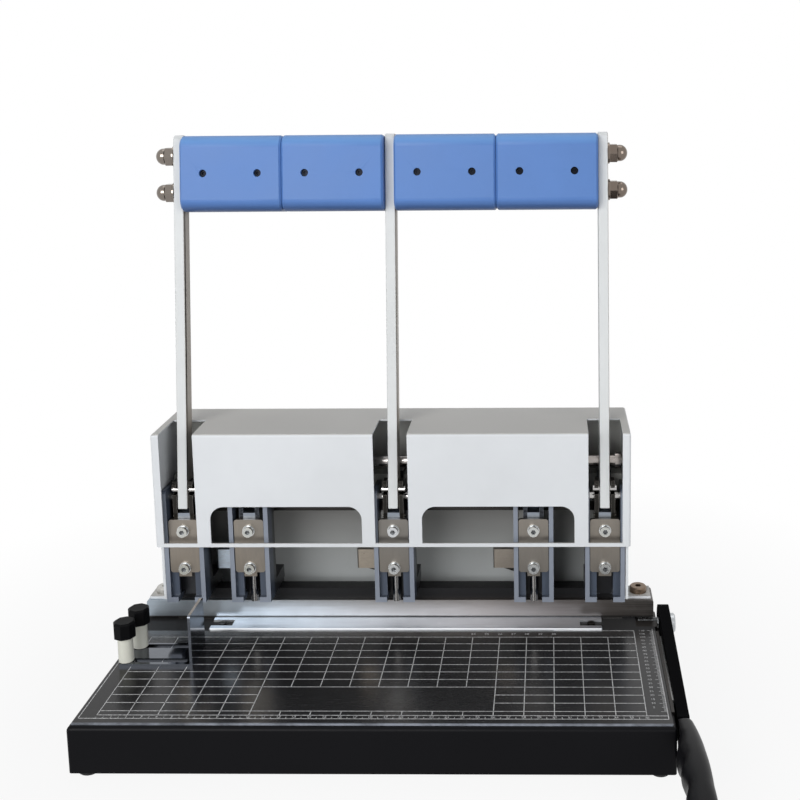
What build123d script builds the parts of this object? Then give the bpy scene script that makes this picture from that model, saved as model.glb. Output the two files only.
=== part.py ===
from build123d import *
from math import acos, atan2, cos, hypot, radians, sin
import os

os.makedirs("parts", exist_ok=True)

# A heavy-duty desk punch with five heads, three lever arms and a side trimmer.
# X runs to the operator's right, Y to the back and Z up. Each piece is drawn
# about the middle of the base and exported with the origin on the table, at
# the centre of the front left foot. Lengths are millimetres.

# Base and board
base_width = 394.0
base_depth = 205.0
base_height = 32.0
base_wall = 1.5
base_edge_radius = 3.0
base_corner_radius = 2.0
floor_thickness = 1.2
foot_height = 4.0
foot_diameter = 15.0
foot_inset = 10.0
foot_chamfer = 1.2
floor_gap = 0.2
board_thickness = 1.0
board_margin = 2.0
board_corner_radius = 1.5
board_edge = 0.4

# Cutting strip under the punches
strip_length = 297.0
strip_depth = 19.2
strip_thickness = 1.5
strip_left_x = -142.0
strip_corner_radius = 1.5
strip_front = 128.5
strip_slot_length = 16.0
strip_slot_width = 9.0
strip_bevel = 0.6
strip_screw_diameter = 6.0
strip_screw_slot = 1.0
strip_screw_slot_depth = 0.6

# Stop bar that carries the whole upper frame
bar_depth = 22.0
bar_height = 15.0
bar_front = 148.0
bar_end_relief = 24.0
bar_relief_height = 1.5
bar_corner_radius = 2.0
bar_hole_floor = 3.0

# Rails behind the heads
rail_overhang = 14.0
lower_rail_front = 152.0
lower_rail_depth = 12.0
lower_rail_height = 7.9
upper_rail_front = 156.0
upper_rail_depth = 12.0
upper_rail_height = 12.0
upper_rail_rise = 101.0
slide_clearance = 0.3

# Housing of folded sheet
cover_overhang = 18.5
cover_front = 122.0
cover_back = 187.5
cover_bottom_rise = 69.0
cover_top_rise = 155.4
sheet = 1.2
cover_bend_radius = 2.0
cover_strip_height = 2.8
slot_width = 25.0
slot_depth = 36.0
window_near = 22.2
window_far_inset = 22.7
window_rise = 100.1
window_radius = 10.0
side_sheet = 2.0
side_front = 129.0
side_toe_rise = 25.0
side_foot_width = 18.7
side_foot_front = 150.5
side_foot_depth = 18.0
side_bolt_inset = 11.0
side_bolt_diameter = 6.0
side_bolt_head = 13.0
side_bolt_head_height = 4.5
side_bolt_chamfer = 0.8
side_bolt_socket = 5.0
side_bolt_socket_depth = 2.5
cover_screw_diameter = 4.0
cover_screw_head = 7.0
cover_screw_head_height = 2.2
cover_screw_y = 165.0
cover_screw_rise = 80.0

# Heads
outer_head_inset = 40.0
left_slider_spacing = 49.0
right_slider_spacing = 53.0
head_width = 29.5
head_front = 128.0
head_back = 172.0
cheek = 3.3
toe_height = 4.0
toe_gap = 12.2
recess_depth = 4.0
lip_depth = 2.5
cavity_width = 20.0
cavity_depth = 8.0
back_wall = 4.0
lip_top_rise = 64.0
throat_top_rise = 81.0
cheek_top_rise = 110.0
head_nose = 2.0
head_lip = 2.0
ear_rise = 86.0
ear_slope = 5.0
web_plate = 2.0
web_slot = 6.8
web_back = 3.4
eye_front = 152.0
eye_wall = 4.0
head_foot_height = 10.6
punch_y = 138.5
punch_diameter = 6.0
punch_bore = 3.4
punch_bore_depth = 12.0
punch_tip_rise = 20.0

# Moving rams and their front plates
ram_clearance = 0.3
ram_bottom_rise = 45.0
ram_top_rise = 83.0
ram_tongue_width = 11.6
stem_width = 9.0
stem_top_rise = 91.5
stem_plate_top_rise = 98.0
lug_width = 6.0
lug_bottom_rise = 80.0
lug_height = 10.0
lug_eye_front = 153.0
lug_eye_height = 15.5
lug_back = 168.0
beam_front = 156.0
beam_depth = 9.0
beam_rise = 84.0
beam_height = 9.0
beam_overhang = 11.0
beam_room = 0.6
plate_width = 22.0
plate_thickness = 2.7
plate_bottom_rise = 46.3
plate_top_rise = 87.5
plate_tab_width = 9.4
plate_tab_height = 3.2
plate_corner_radius = 2.0
plate_bolt_rises = (50.0, 79.0)
plate_bolt_head = 7.5
plate_bolt_length = 3.4
plate_washer = 9.0
washer_thickness = 0.8
plate_bolt_shank = 4.0
plate_bolt_socket = 4.0

# Lever and its crank, which works in an open fork on each fixed ram
fulcrum_y = 145.5
fulcrum_rise = 99.4
fulcrum_pin_diameter = 7.0
fulcrum_pin_overhang = 0.4
fulcrum_boss_radius = 6.2
lever_lean = 7.4
lever_turn = 90.0
crank_pin_diameter = 5.0
crank_setback = 4.4
arm_thickness = 7.4
arm_depth = 14.0
arm_length = 272.0
arm_corner = 3.0
arm_heel_top = 18.0
running = 0.05
fork_thickness = 3.0
fork_play = 0.15
fork_jaw = 3.8
fork_back_gap = 0.5
fork_bottom_rise = 83.6
stop_rod_diameter = 9.0
stop_rod_left_overhang = 7.0
stop_rod_right_overhang = 15.0
stop_rod_chamfer = 0.8
stop_rod_along = 26.0
stop_gap = 0.3
collar_diameter = 13.0
collar_width = 4.5
collar_inset = 2.0
rod_lug_width = 6.0
rod_lug_wall = 2.5
rod_lug_inset = 18.4
rod_lug_inner_x = 24.0

# Handle
grip_height = 56.0
grip_depth = 34.0
grip_centre_along = 243.0
grip_corner_radius = 9.0
grip_end_chamfer = 1.4
grip_gap = 0.3
grip_screw_spacing = 40.0
grip_screw_diameter = 5.6
grip_screw_recess = 3.0
grip_screw_length = 3.0
grip_screw_socket = 3.0
grip_screw_socket_depth = 1.6
handle_rod_diameter = 8.0
handle_rod_spacing = 27.0
nut_flats = 13.0
nut_height = 6.5
nut_dome_radius = 6.0
nut_dome_length = 6.5
nut_dome_taper = 18.0
nut_washer_diameter = 16.0
nut_washer_thickness = 1.6

# Return springs, one in each fixed head
spring_diameter = 6.0
spring_bore = 4.4
spring_y = 151.2
spring_gap = 0.1

# Head locks
lock_reach = 31.0
lock_front = 148.0
lock_depth = 8.0
lock_bottom_rise = 41.0
lock_height = 15.0
lock_corner_radius = 1.5
gusset_thickness = 4.0
gusset_foot = 2.0

# Side guide with its two clamping knobs
fence_inset = 58.5
fence_thickness = 2.0
fence_front = 75.0
fence_back = 105.5
fence_height = 38.0
fence_corner_radius = 2.0
foot_plate_inset = 7.0
foot_plate_thickness = 2.0
guide_slot_width = 5.4
guide_slot_gap = 6.0
knob_insets = ((10.5, 80.5), (13.5, 101.0))
stud_diameter = 5.0
collar_outer = 10.6
collar_height = 18.0
cap_flats = 14.6
cap_height = 11.5
cap_socket_depth = 6.0
cap_corner_radius = 1.2
cap_chamfer = 1.2

# Side trimmer
trimmer_gap = 1.6
trimmer_thickness = 8.0
trimmer_pivot_y = 147.0
trimmer_pivot_rise = -3.0
trimmer_boss_radius = 13.5
trimmer_tang_front = -44.0
trimmer_tang_rise = -16.0
trimmer_tang_height = 11.0
pivot_diameter = 8.0
pivot_head_diameter = 14.5
pivot_head_height = 4.6
pivot_head_chamfer = 1.0
pivot_socket = 7.0
pivot_socket_depth = 2.5
pivot_length = 14.0
pivot_block_width = 16.0
pivot_block_front = 135.0
pivot_block_depth = 24.0
pivot_block_low = 18.0
blade_thickness = 1.2
blade_front = 36.0
blade_back = 124.0
blade_height = 20.0
blade_rise = -22.0
counter_blade_depth = 110.0
counter_blade_front = 18.0
counter_blade_height = 9.0
counter_blade_thickness = 2.0
trimmer_grip_width = 19.0
trimmer_grip_inset = 4.0
trimmer_grip_radius = 3.0
trimmer_grip_back = 16.0
trimmer_grip_step = -3.0
trimmer_grip_top = ((16.0, -1.0), (-37.0, 2.4), (-90.0, -3.6))
trimmer_grip_nose = ((-90.0, -3.6), (-97.0, -11.5), (-90.0, -20.0))
trimmer_grip_fingers = ((-90.0, -20.0), (-72.0, -15.0), (-54.0, -20.5), (-37.0, -17.0), (-20.0, -25.0),
                        (-2.0, -24.5), (16.0, -20.0))

# Places that follow from the sizes above
front = -base_depth / 2
foot_spread_x = base_width - 2 * foot_inset
foot_spread_y = base_depth - 2 * foot_inset
bar_length = base_width - 2 * board_margin
outer_head_x = base_width / 2 - outer_head_inset
left_slider_x = left_slider_spacing - outer_head_x
right_slider_x = outer_head_x - right_slider_spacing
rail_length = 2 * (outer_head_x + rail_overhang)
cover_width = 2 * (outer_head_x + cover_overhang)
window_far = outer_head_x - window_far_inset
side_bolt_x = bar_length / 2 - side_bolt_inset
beam_length = 2 * (outer_head_x + beam_overhang)
stop_rod_left = -outer_head_x - stop_rod_left_overhang
stop_rod_right = outer_head_x + stop_rod_right_overhang
rod_lug_outer_x = outer_head_x - rod_lug_inset
fence_x = fence_inset - base_width / 2
foot_plate_left = foot_plate_inset - base_width / 2
guide_slot_end = fence_x - guide_slot_gap
knob_places = [(inset - base_width / 2, offset) for inset, offset in knob_insets]
board_top = foot_height + base_height + board_thickness
base_top = foot_height + base_height
strip_top = board_top + strip_thickness
bar_top = board_top + bar_height
lower_rail_top = bar_top + lower_rail_height
head_bottom = lower_rail_top
head_foot_top = head_bottom + head_foot_height
cheek_top = board_top + cheek_top_rise
web_half = web_slot / 2 + web_plate
cover_top = board_top + cover_top_rise
cover_bottom = board_top + cover_bottom_rise
fixed_head_xs = (-outer_head_x, 0.0, outer_head_x)
lips_front = head_front + recess_depth
cavity_front = lips_front + lip_depth
cavity_back = cavity_front + cavity_depth
wall_back = cavity_back + back_wall
ear_back = fulcrum_y + fulcrum_boss_radius
stroke = board_top + punch_tip_rise - strip_top - slide_clearance
crank_half_turn = lever_turn / 2
crank_radius = stroke / (2 * sin(radians(crank_half_turn)))
fulcrum_z = board_top + fulcrum_rise
cover_screw_z = board_top + cover_screw_rise
crank_y = fulcrum_y - crank_radius * cos(radians(crank_half_turn))
crank_z = fulcrum_z + crank_radius * sin(radians(crank_half_turn))


def y_at(offset):
    """Distance behind the base's front edge, as a place on Y."""
    return front + offset


def z_at(rise):
    """Height above the board's top, as a place on Z."""
    return board_top + rise


def side_plane(x):
    """A plane across the machine: its own x is the depth, its own y the height."""
    return Plane(origin=(x, front, 0), x_dir=(0, 1, 0), z_dir=(1, 0, 0))


def front_plane(offset):
    """A plane facing the operator: its own x is X, its own y the height."""
    return Plane(origin=(0, y_at(offset), 0), x_dir=(1, 0, 0), z_dir=(0, -1, 0))


def export_piece(piece, label):
    """Write one piece, moved so that the origin is under the front left foot."""
    placed = piece.part.moved(Location((foot_spread_x / 2, foot_spread_y / 2, 0)))
    placed.label = label
    export_step(placed, f"parts/{label}.step")


def block(x_low, x_high, y_low, y_high, z_low, z_high, mode=Mode.ADD):
    """A plain block between two corners, Y counted from the base's front edge."""
    centre = ((x_low + x_high) / 2, y_at((y_low + y_high) / 2), (z_low + z_high) / 2)
    with Locations(centre):
        Box(x_high - x_low, y_high - y_low, z_high - z_low, mode=mode)


# Base shell: a deep tray, upside down, with a rounded front edge
with BuildPart() as base_shell:
    with BuildSketch(Plane.XY.offset(foot_height)):
        RectangleRounded(base_width, base_depth, base_corner_radius)
    extrude(amount=base_height)
    top_edges = base_shell.edges().group_by(Axis.Z)[-1]
    fillet(top_edges.sort_by(Axis.Y)[0], radius=base_edge_radius)
    with BuildSketch(Plane.XY.offset(foot_height)):
        RectangleRounded(base_width - 2 * base_wall, base_depth - 2 * base_wall, base_corner_radius / 2)
    extrude(amount=base_height - base_wall, mode=Mode.SUBTRACT)
    with BuildSketch(Plane.XY.offset(foot_height + floor_thickness)):
        with GridLocations(foot_spread_x, foot_spread_y, 2, 2):
            Circle(foot_diameter / 2 - 2)
    extrude(amount=base_height - base_wall - floor_thickness)
    block(base_width / 2 - pivot_block_width, base_width / 2, pivot_block_front,
          pivot_block_front + pivot_block_depth, pivot_block_low, base_top, Mode.SUBTRACT)
    block(base_width / 2 - counter_blade_thickness, base_width / 2, counter_blade_front,
          counter_blade_front + counter_blade_depth, base_top - counter_blade_height, base_top, Mode.SUBTRACT)
export_piece(base_shell, "base_shell")

# Floor plate that closes the base
with BuildPart() as base_floor:
    with BuildSketch(Plane.XY.offset(foot_height)):
        RectangleRounded(base_width - 2 * (base_wall + floor_gap), base_depth - 2 * (base_wall + floor_gap),
                         base_corner_radius / 2)
    extrude(amount=floor_thickness)
export_piece(base_floor, "base_floor")

# Rubber feet
with BuildPart() as base_feet:
    with BuildSketch():
        with GridLocations(foot_spread_x, foot_spread_y, 2, 2):
            Circle(foot_diameter / 2)
    extrude(amount=foot_height)
    chamfer(base_feet.edges().group_by(Axis.Z)[0], length=foot_chamfer)
export_piece(base_feet, "base_feet")

# Printed board on top of the base
with BuildPart() as grid_board:
    board_back = base_depth - board_margin
    block(-base_width / 2 + board_margin, base_width / 2 - counter_blade_thickness, board_margin + 1,
          board_back, base_top, board_top)
    fillet(grid_board.edges().filter_by(Axis.Z), radius=board_corner_radius)
    block(base_width / 2 - pivot_block_width, base_width / 2, pivot_block_front,
          pivot_block_front + pivot_block_depth, base_top, board_top, Mode.SUBTRACT)
    chamfer(grid_board.edges().group_by(Axis.Z)[-1].sort_by(Axis.Y)[0], length=board_edge)
export_piece(grid_board, "grid_board")

# Replaceable cutting strip with open fork slots at both ends
with BuildPart() as cutting_strip:
    strip_mid_x = strip_left_x + strip_length / 2
    strip_mid_y = y_at(strip_front + strip_depth / 2)
    with BuildSketch(Plane.XY.offset(board_top)):
        with Locations((strip_mid_x, strip_mid_y)):
            RectangleRounded(strip_length, strip_depth, strip_corner_radius)
        for end in (-1, 1):
            with Locations((strip_mid_x + end * (strip_length / 2 - strip_slot_length / 2), strip_mid_y)):
                Rectangle(strip_slot_length + 1, strip_slot_width, mode=Mode.SUBTRACT)
    extrude(amount=strip_thickness)
    front_edge = cutting_strip.edges().group_by(Axis.Z)[-1].filter_by(Axis.X).sort_by(Axis.Y)[0]
    chamfer(front_edge, length=strip_bevel)
export_piece(cutting_strip, "cutting_strip")

# Low screws that hold the strip in its slots
with BuildPart() as strip_screws:
    for end in (-1, 1):
        screw_x = strip_mid_x + end * (strip_length / 2 - strip_slot_length / 2)
        with BuildSketch(Plane.XY.offset(board_top)):
            with Locations((screw_x, strip_mid_y)):
                Circle(strip_screw_diameter / 2)
        extrude(amount=strip_thickness)
        with BuildSketch(Plane.XY.offset(strip_top)):
            with Locations((screw_x, strip_mid_y)):
                Rectangle(strip_screw_diameter + 1, strip_screw_slot)
        extrude(amount=-strip_screw_slot_depth, mode=Mode.SUBTRACT)
export_piece(strip_screws, "strip_screws")

# Ground steel bar: the paper stops against its front face
with BuildPart() as stop_bar:
    block(-bar_length / 2, bar_length / 2, bar_front, bar_front + bar_depth, board_top, bar_top)
    for end in (-1, 1):
        block(min(end * bar_length / 2, end * (bar_length / 2 - bar_end_relief)),
              max(end * bar_length / 2, end * (bar_length / 2 - bar_end_relief)),
              bar_front, bar_front + bar_depth, board_top, board_top + bar_relief_height, Mode.SUBTRACT)
    fillet(stop_bar.edges().filter_by(Axis.Y).group_by(Axis.Z)[-1], radius=bar_corner_radius)
    with BuildSketch(Plane.XY.offset(bar_top)):
        with Locations((-side_bolt_x, y_at(side_foot_front + side_foot_depth / 2)),
                       (side_bolt_x, y_at(side_foot_front + side_foot_depth / 2))):
            Circle(side_bolt_diameter / 2)
    extrude(amount=bar_hole_floor - bar_height, mode=Mode.SUBTRACT)
export_piece(stop_bar, "stop_bar")

# Lower rail, on the bar, which the heads' feet ride on
with BuildPart() as lower_rail:
    block(-rail_length / 2, rail_length / 2, lower_rail_front, lower_rail_front + lower_rail_depth,
          bar_top, lower_rail_top)
export_piece(lower_rail, "lower_rail")

# Rest line of the levers: the arms lean back against the stop rod
lean_sin = sin(radians(lever_lean))
lean_cos = cos(radians(lever_lean))
crank_angle = radians(180 - crank_half_turn + lever_lean)
arm_offset = crank_setback - arm_depth / 2 - crank_radius * cos(crank_angle)
lever_y = fulcrum_y - arm_offset * lean_cos
lever_z = fulcrum_z + arm_offset * lean_sin
stop_rod_offset = (arm_depth + stop_rod_diameter) / 2 + stop_gap
stop_rod_y = lever_y + stop_rod_along * lean_sin + stop_rod_offset * lean_cos
stop_rod_z = lever_z + stop_rod_along * lean_cos - stop_rod_offset * lean_sin

# Upper rail, which passes through the heads, with the lugs of the stop rod
upper_rail_low = z_at(upper_rail_rise)
upper_rail_top = upper_rail_low + upper_rail_height
with BuildPart() as upper_rail:
    block(-rail_length / 2, rail_length / 2, upper_rail_front, upper_rail_front + upper_rail_depth,
          upper_rail_low, upper_rail_top)
    for lug_x in (-rod_lug_outer_x, -rod_lug_inner_x, rod_lug_inner_x, rod_lug_outer_x):
        with BuildSketch(side_plane(lug_x)):
            with BuildLine():
                Polyline((stop_rod_y - stop_rod_diameter / 2 - rod_lug_wall, stop_rod_z),
                         (upper_rail_front, upper_rail_top),
                         (upper_rail_front + upper_rail_depth, upper_rail_top),
                         (stop_rod_y + stop_rod_diameter / 2 + rod_lug_wall, stop_rod_z), close=True)
            make_face()
            with Locations((stop_rod_y, stop_rod_z)):
                Circle(stop_rod_diameter / 2 + rod_lug_wall)
                Circle(stop_rod_diameter / 2, mode=Mode.SUBTRACT)
        extrude(amount=rod_lug_width / 2, both=True)
export_piece(upper_rail, "upper_rail")

# Stop rod and the collar at its right end
with BuildPart() as stop_rod:
    with BuildSketch(side_plane(stop_rod_left)):
        with Locations((stop_rod_y, stop_rod_z)):
            Circle(stop_rod_diameter / 2)
    extrude(amount=stop_rod_right - stop_rod_left)
    chamfer(stop_rod.edges().filter_by(GeomType.CIRCLE), length=stop_rod_chamfer)
    with BuildSketch(side_plane(stop_rod_right - collar_inset - collar_width)):
        with Locations((stop_rod_y, stop_rod_z)):
            Circle(collar_diameter / 2)
            Circle(stop_rod_diameter / 2 + running, mode=Mode.SUBTRACT)
    extrude(amount=collar_width)
export_piece(stop_rod, "stop_rod")

# Side panels with the foot that bolts onto the bar
side_outer = cover_width / 2 - sheet
panel_top = cover_top - sheet
for label, side in (("side_panel_left", -1), ("side_panel_right", 1)):
    with BuildPart() as side_panel:
        with BuildSketch(side_plane(side * (side_outer - side_sheet / 2))):
            with BuildLine():
                Polyline((side_front, z_at(side_toe_rise)), (bar_front - 1, z_at(side_toe_rise)),
                         (bar_front + 2, bar_top), (cover_back - sheet, bar_top),
                         (cover_back - sheet, panel_top), (side_front, panel_top), close=True)
            make_face()
        extrude(amount=side_sheet / 2, both=True)
        block(min(side * side_outer, side * (side_outer + side_foot_width)),
              max(side * side_outer, side * (side_outer + side_foot_width)),
              side_foot_front, side_foot_front + side_foot_depth, bar_top, bar_top + side_sheet)
        with BuildSketch(Plane.XY.offset(bar_top)):
            with Locations((side * side_bolt_x, y_at(side_foot_front + side_foot_depth / 2))):
                Circle(side_bolt_diameter / 2)
        extrude(amount=side_sheet, mode=Mode.SUBTRACT)
        with BuildSketch(side_plane(side * side_outer)):
            with Locations((cover_screw_y, cover_screw_z)):
                Circle(cover_screw_diameter / 2)
        extrude(amount=-side * side_sheet, mode=Mode.SUBTRACT)
    export_piece(side_panel, label)

# Cover: front, top and sides of one folded sheet, slotted for the levers
with BuildPart() as cover:
    block(-cover_width / 2, cover_width / 2, cover_front, cover_back, cover_bottom, cover_top)
    front_corners = cover.edges().filter_by(Axis.Z).group_by(Axis.Y)[0]
    top_bends = cover.edges().group_by(Axis.Z)[-1].sort_by(Axis.Y)[:3]
    fillet(front_corners + top_bends, radius=cover_bend_radius)
    block(-cover_width / 2 + sheet, cover_width / 2 - sheet, cover_front + sheet, cover_back,
          cover_bottom, cover_top - sheet, Mode.SUBTRACT)
    with BuildSketch(side_plane(-cover_width / 2)):
        with Locations((cover_screw_y, cover_screw_z)):
            Circle(cover_screw_diameter / 2)
    extrude(amount=cover_width, mode=Mode.SUBTRACT)
    strip_line = cover_bottom + cover_strip_height
    for slot_x in fixed_head_xs:
        block(slot_x - slot_width / 2, slot_x + slot_width / 2, cover_front, cover_front + slot_depth,
              strip_line, cover_top, Mode.SUBTRACT)
    with BuildSketch(front_plane(cover_front)):
        for side in (-1, 1):
            with BuildLine():
                near = side * window_near
                far = side * window_far
                window_top = z_at(window_rise)
                bend = side * window_radius
                Line((near, strip_line), (near, window_top - window_radius))
                RadiusArc((near, window_top - window_radius), (near + bend, window_top), side * window_radius)
                Line((near + bend, window_top), (far - bend, window_top))
                RadiusArc((far - bend, window_top), (far, window_top - window_radius), side * window_radius)
                Line((far, window_top - window_radius), (far, strip_line))
                Line((far, strip_line), (near, strip_line))
            make_face()
    extrude(amount=-sheet, mode=Mode.SUBTRACT)
export_piece(cover, "cover")

# Rear panel, from the board up to the cover's top
with BuildPart() as rear_panel:
    block(-side_outer, side_outer, cover_back - sheet, cover_back, board_top, panel_top)
    block(-side_outer, side_outer, bar_front + bar_depth + 1, cover_back - sheet,
          board_top, board_top + sheet)
export_piece(rear_panel, "rear_panel")

# Bolts of the side feet and screws through the side panels
with BuildPart() as housing_screws:
    bolt_seat = bar_top + side_sheet
    bolt_places = [(side * side_bolt_x, y_at(side_foot_front + side_foot_depth / 2)) for side in (-1, 1)]
    with BuildSketch(Plane.XY.offset(bolt_seat)):
        with Locations(*bolt_places):
            Circle(side_bolt_head / 2)
    extrude(amount=side_bolt_head_height)
    chamfer(housing_screws.edges().group_by(Axis.Z)[-1], length=side_bolt_chamfer)
    with BuildSketch(Plane.XY.offset(bolt_seat)):
        with Locations(*bolt_places):
            Circle(side_bolt_diameter / 2)
    extrude(amount=bar_hole_floor - bar_height - side_sheet + slide_clearance)
    with BuildSketch(Plane.XY.offset(bolt_seat + side_bolt_head_height)):
        with Locations(*bolt_places):
            RegularPolygon(side_bolt_socket / 2, 6)
    extrude(amount=-side_bolt_socket_depth, mode=Mode.SUBTRACT)
    for side in (-1, 1):
        with BuildSketch(side_plane(side * (side_outer - side_sheet))):
            with Locations((cover_screw_y, cover_screw_z)):
                Circle(cover_screw_diameter / 2)
        extrude(amount=side * (side_sheet + sheet))
        with BuildSketch(side_plane(side * (side_outer + sheet))):
            with Locations((cover_screw_y, cover_screw_z)):
                Circle(cover_screw_head / 2)
        extrude(amount=side * cover_screw_head_height)
        with BuildSketch(side_plane(side * (side_outer + sheet + cover_screw_head_height))):
            with Locations((cover_screw_y, cover_screw_z)):
                RegularPolygon(cover_screw_diameter / 2, 6)
        extrude(amount=-side * cover_screw_head_height / 2, mode=Mode.SUBTRACT)
export_piece(housing_screws, "housing_screws")


def make_head(label, x, clearance):
    """A head: a channel with ears for the fulcrum, and behind it a web with the foot and the rail eye."""
    half = head_width / 2
    inner = half - cheek
    slot = web_slot / 2
    throat = z_at(throat_top_rise)
    beam_low = z_at(beam_rise)
    with BuildPart() as head:
        with BuildSketch(side_plane(x)):
            with BuildLine():
                Polyline((head_front, head_bottom), (wall_back, head_bottom), (wall_back, z_at(ear_rise)),
                         (ear_back, z_at(ear_rise) + ear_slope), (ear_back, cheek_top),
                         (head_front + head_nose, cheek_top), (head_front, cheek_top - head_nose), close=True)
            make_face()
        extrude(amount=half, both=True)
        # Foot on the lower rail, with the running gap over the rail and a lip behind it
        block(x - half, x + half, wall_back, head_back, head_bottom, head_foot_top)
        if clearance:
            block(x - half, x + half, lower_rail_front - clearance, head_back, head_bottom,
                  head_bottom + clearance, Mode.SUBTRACT)
        block(x - half, x + half, lower_rail_front + lower_rail_depth + slide_clearance, head_back - head_lip,
              bar_top + slide_clearance, head_bottom + head_lip)
        # Web: two plates, joined along their back edge and round the rail
        block(x - web_half, x + web_half, wall_back, head_back, head_foot_top, throat)
        block(x - web_half, x + web_half, eye_front, head_back, throat, upper_rail_top + eye_wall)
        block(x - slot, x + slot, wall_back, head_back - web_back, head_foot_top, upper_rail_low - eye_wall,
              Mode.SUBTRACT)
        # Recess for the front plate, open at the top
        block(x - inner, x + inner, head_front, lips_front,
              head_bottom + toe_height, cheek_top, Mode.SUBTRACT)
        # Slot between the toes and the lips
        block(x - toe_gap / 2, x + toe_gap / 2, head_front, cavity_back,
              head_bottom, cheek_top, Mode.SUBTRACT)
        # Guide for the ram
        block(x - cavity_width / 2, x + cavity_width / 2, cavity_front, cavity_back,
              head_bottom + toe_height - 1, throat, Mode.SUBTRACT)
        # Room for the fork and the arm above the lips
        block(x - inner, x + inner, head_front, ear_back, throat, cheek_top, Mode.SUBTRACT)
        block(x - inner, x + inner, head_front, cavity_front, z_at(lip_top_rise), cheek_top, Mode.SUBTRACT)
        # Window in the back wall for the ram's lug
        block(x - slot, x + slot, cavity_back, wall_back, z_at(lug_bottom_rise) - stroke - beam_room, throat,
              Mode.SUBTRACT)
        # Windows in the web for the press beam
        block(x - web_half, x + web_half, beam_front - beam_room, beam_front + beam_depth + beam_room,
              beam_low - stroke - beam_room, beam_low + beam_height + beam_room, Mode.SUBTRACT)
        # Eye for the upper rail
        block(x - web_half, x + web_half, upper_rail_front - clearance,
              upper_rail_front + upper_rail_depth + clearance, upper_rail_low - clearance,
              upper_rail_top + clearance, Mode.SUBTRACT)
        # Bore of the fulcrum pin
        if not clearance:
            with BuildSketch(side_plane(x)):
                with Locations((fulcrum_y, fulcrum_z)):
                    Circle(fulcrum_pin_diameter / 2)
            extrude(amount=half, both=True, mode=Mode.SUBTRACT)
    export_piece(head, label)


# Three fixed heads under the levers and two that slide along the rails
for label, head_x in zip(("head_left", "head_centre", "head_right"), fixed_head_xs):
    make_head(label, head_x, 0.0)
for label, head_x in (("head_inner_left", left_slider_x), ("head_inner_right", right_slider_x)):
    make_head(label, head_x, slide_clearance)

# Fulcrum pins of the three levers
with BuildPart() as fulcrum_pins:
    for head_x in fixed_head_xs:
        with BuildSketch(side_plane(head_x)):
            with Locations((fulcrum_y, fulcrum_z)):
                Circle(fulcrum_pin_diameter / 2)
        extrude(amount=head_width / 2 + fulcrum_pin_overhang, both=True)
export_piece(fulcrum_pins, "fulcrum_pins")

# Press beam that ties the rams together, through the heads' webs
beam_low = z_at(beam_rise)
with BuildPart() as press_beam:
    block(-beam_length / 2, beam_length / 2, beam_front, beam_front + beam_depth,
          beam_low, beam_low + beam_height)
export_piece(press_beam, "press_beam")


def add_ram(x, beam_gap):
    """A ram: slider behind the lips, tongue for the plate, stem above, beam eye behind."""
    tongue = ram_tongue_width / 2
    block(x - cavity_width / 2 + ram_clearance, x + cavity_width / 2 - ram_clearance,
          cavity_front + ram_clearance, cavity_back - ram_clearance,
          z_at(ram_bottom_rise), z_at(ram_top_rise))
    block(x - tongue, x + tongue, head_front + 1 + plate_thickness, cavity_front + 1,
          z_at(ram_bottom_rise), z_at(ram_top_rise))
    block(x - stem_width / 2, x + stem_width / 2, lips_front + 0.3, cavity_back - 1,
          z_at(ram_top_rise), z_at(stem_top_rise))
    lug = lug_width / 2
    lug_low = z_at(lug_bottom_rise)
    block(x - lug, x + lug, cavity_back - 1, lug_eye_front, lug_low, lug_low + lug_height)
    block(x - lug, x + lug, lug_eye_front, lug_back, lug_low, lug_low + lug_eye_height)
    block(x - lug, x + lug, beam_front - beam_gap, beam_front + beam_depth + beam_gap,
          beam_low - beam_gap, beam_low + beam_height + beam_gap, Mode.SUBTRACT)


def add_plate(x):
    """Front plate with its lower tab, seen between the cheeks of the head."""
    with BuildSketch(front_plane(head_front + 1)) as plate_face:
        with Locations((x, z_at((plate_bottom_rise + plate_top_rise) / 2))):
            RectangleRounded(plate_width, plate_top_rise - plate_bottom_rise, plate_corner_radius)
        with Locations((x, z_at(plate_bottom_rise - plate_tab_height / 2 + 1))):
            Rectangle(plate_tab_width, plate_tab_height + 2)
        with Locations(*[(x, z_at(rise)) for rise in plate_bolt_rises]):
            Circle(plate_bolt_shank / 2, mode=Mode.SUBTRACT)
    extrude(plate_face.sketch, amount=-plate_thickness)


def add_plate_bolts(x):
    """Two socket-head bolts with washers on a front plate."""
    bolt_centres = [(x, z_at(rise)) for rise in plate_bolt_rises]
    head_start = head_front + 1 - washer_thickness
    with BuildSketch(front_plane(head_front + 1)) as washer_face:
        with Locations(*bolt_centres):
            Circle(plate_washer / 2)
    extrude(washer_face.sketch, amount=washer_thickness)
    with BuildSketch(front_plane(head_front + 1)) as shank_face:
        with Locations(*bolt_centres):
            Circle(plate_bolt_shank / 2)
    extrude(shank_face.sketch, amount=-plate_thickness)
    with BuildSketch(front_plane(head_start)) as head_face:
        with Locations(*bolt_centres):
            Circle(plate_bolt_head / 2)
    extrude(head_face.sketch, amount=plate_bolt_length)
    with BuildSketch(front_plane(head_start - plate_bolt_length)) as socket_face:
        with Locations(*bolt_centres):
            RegularPolygon(plate_bolt_socket / 2, 6)
    extrude(socket_face.sketch, amount=-plate_bolt_length / 2, mode=Mode.SUBTRACT)


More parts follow.
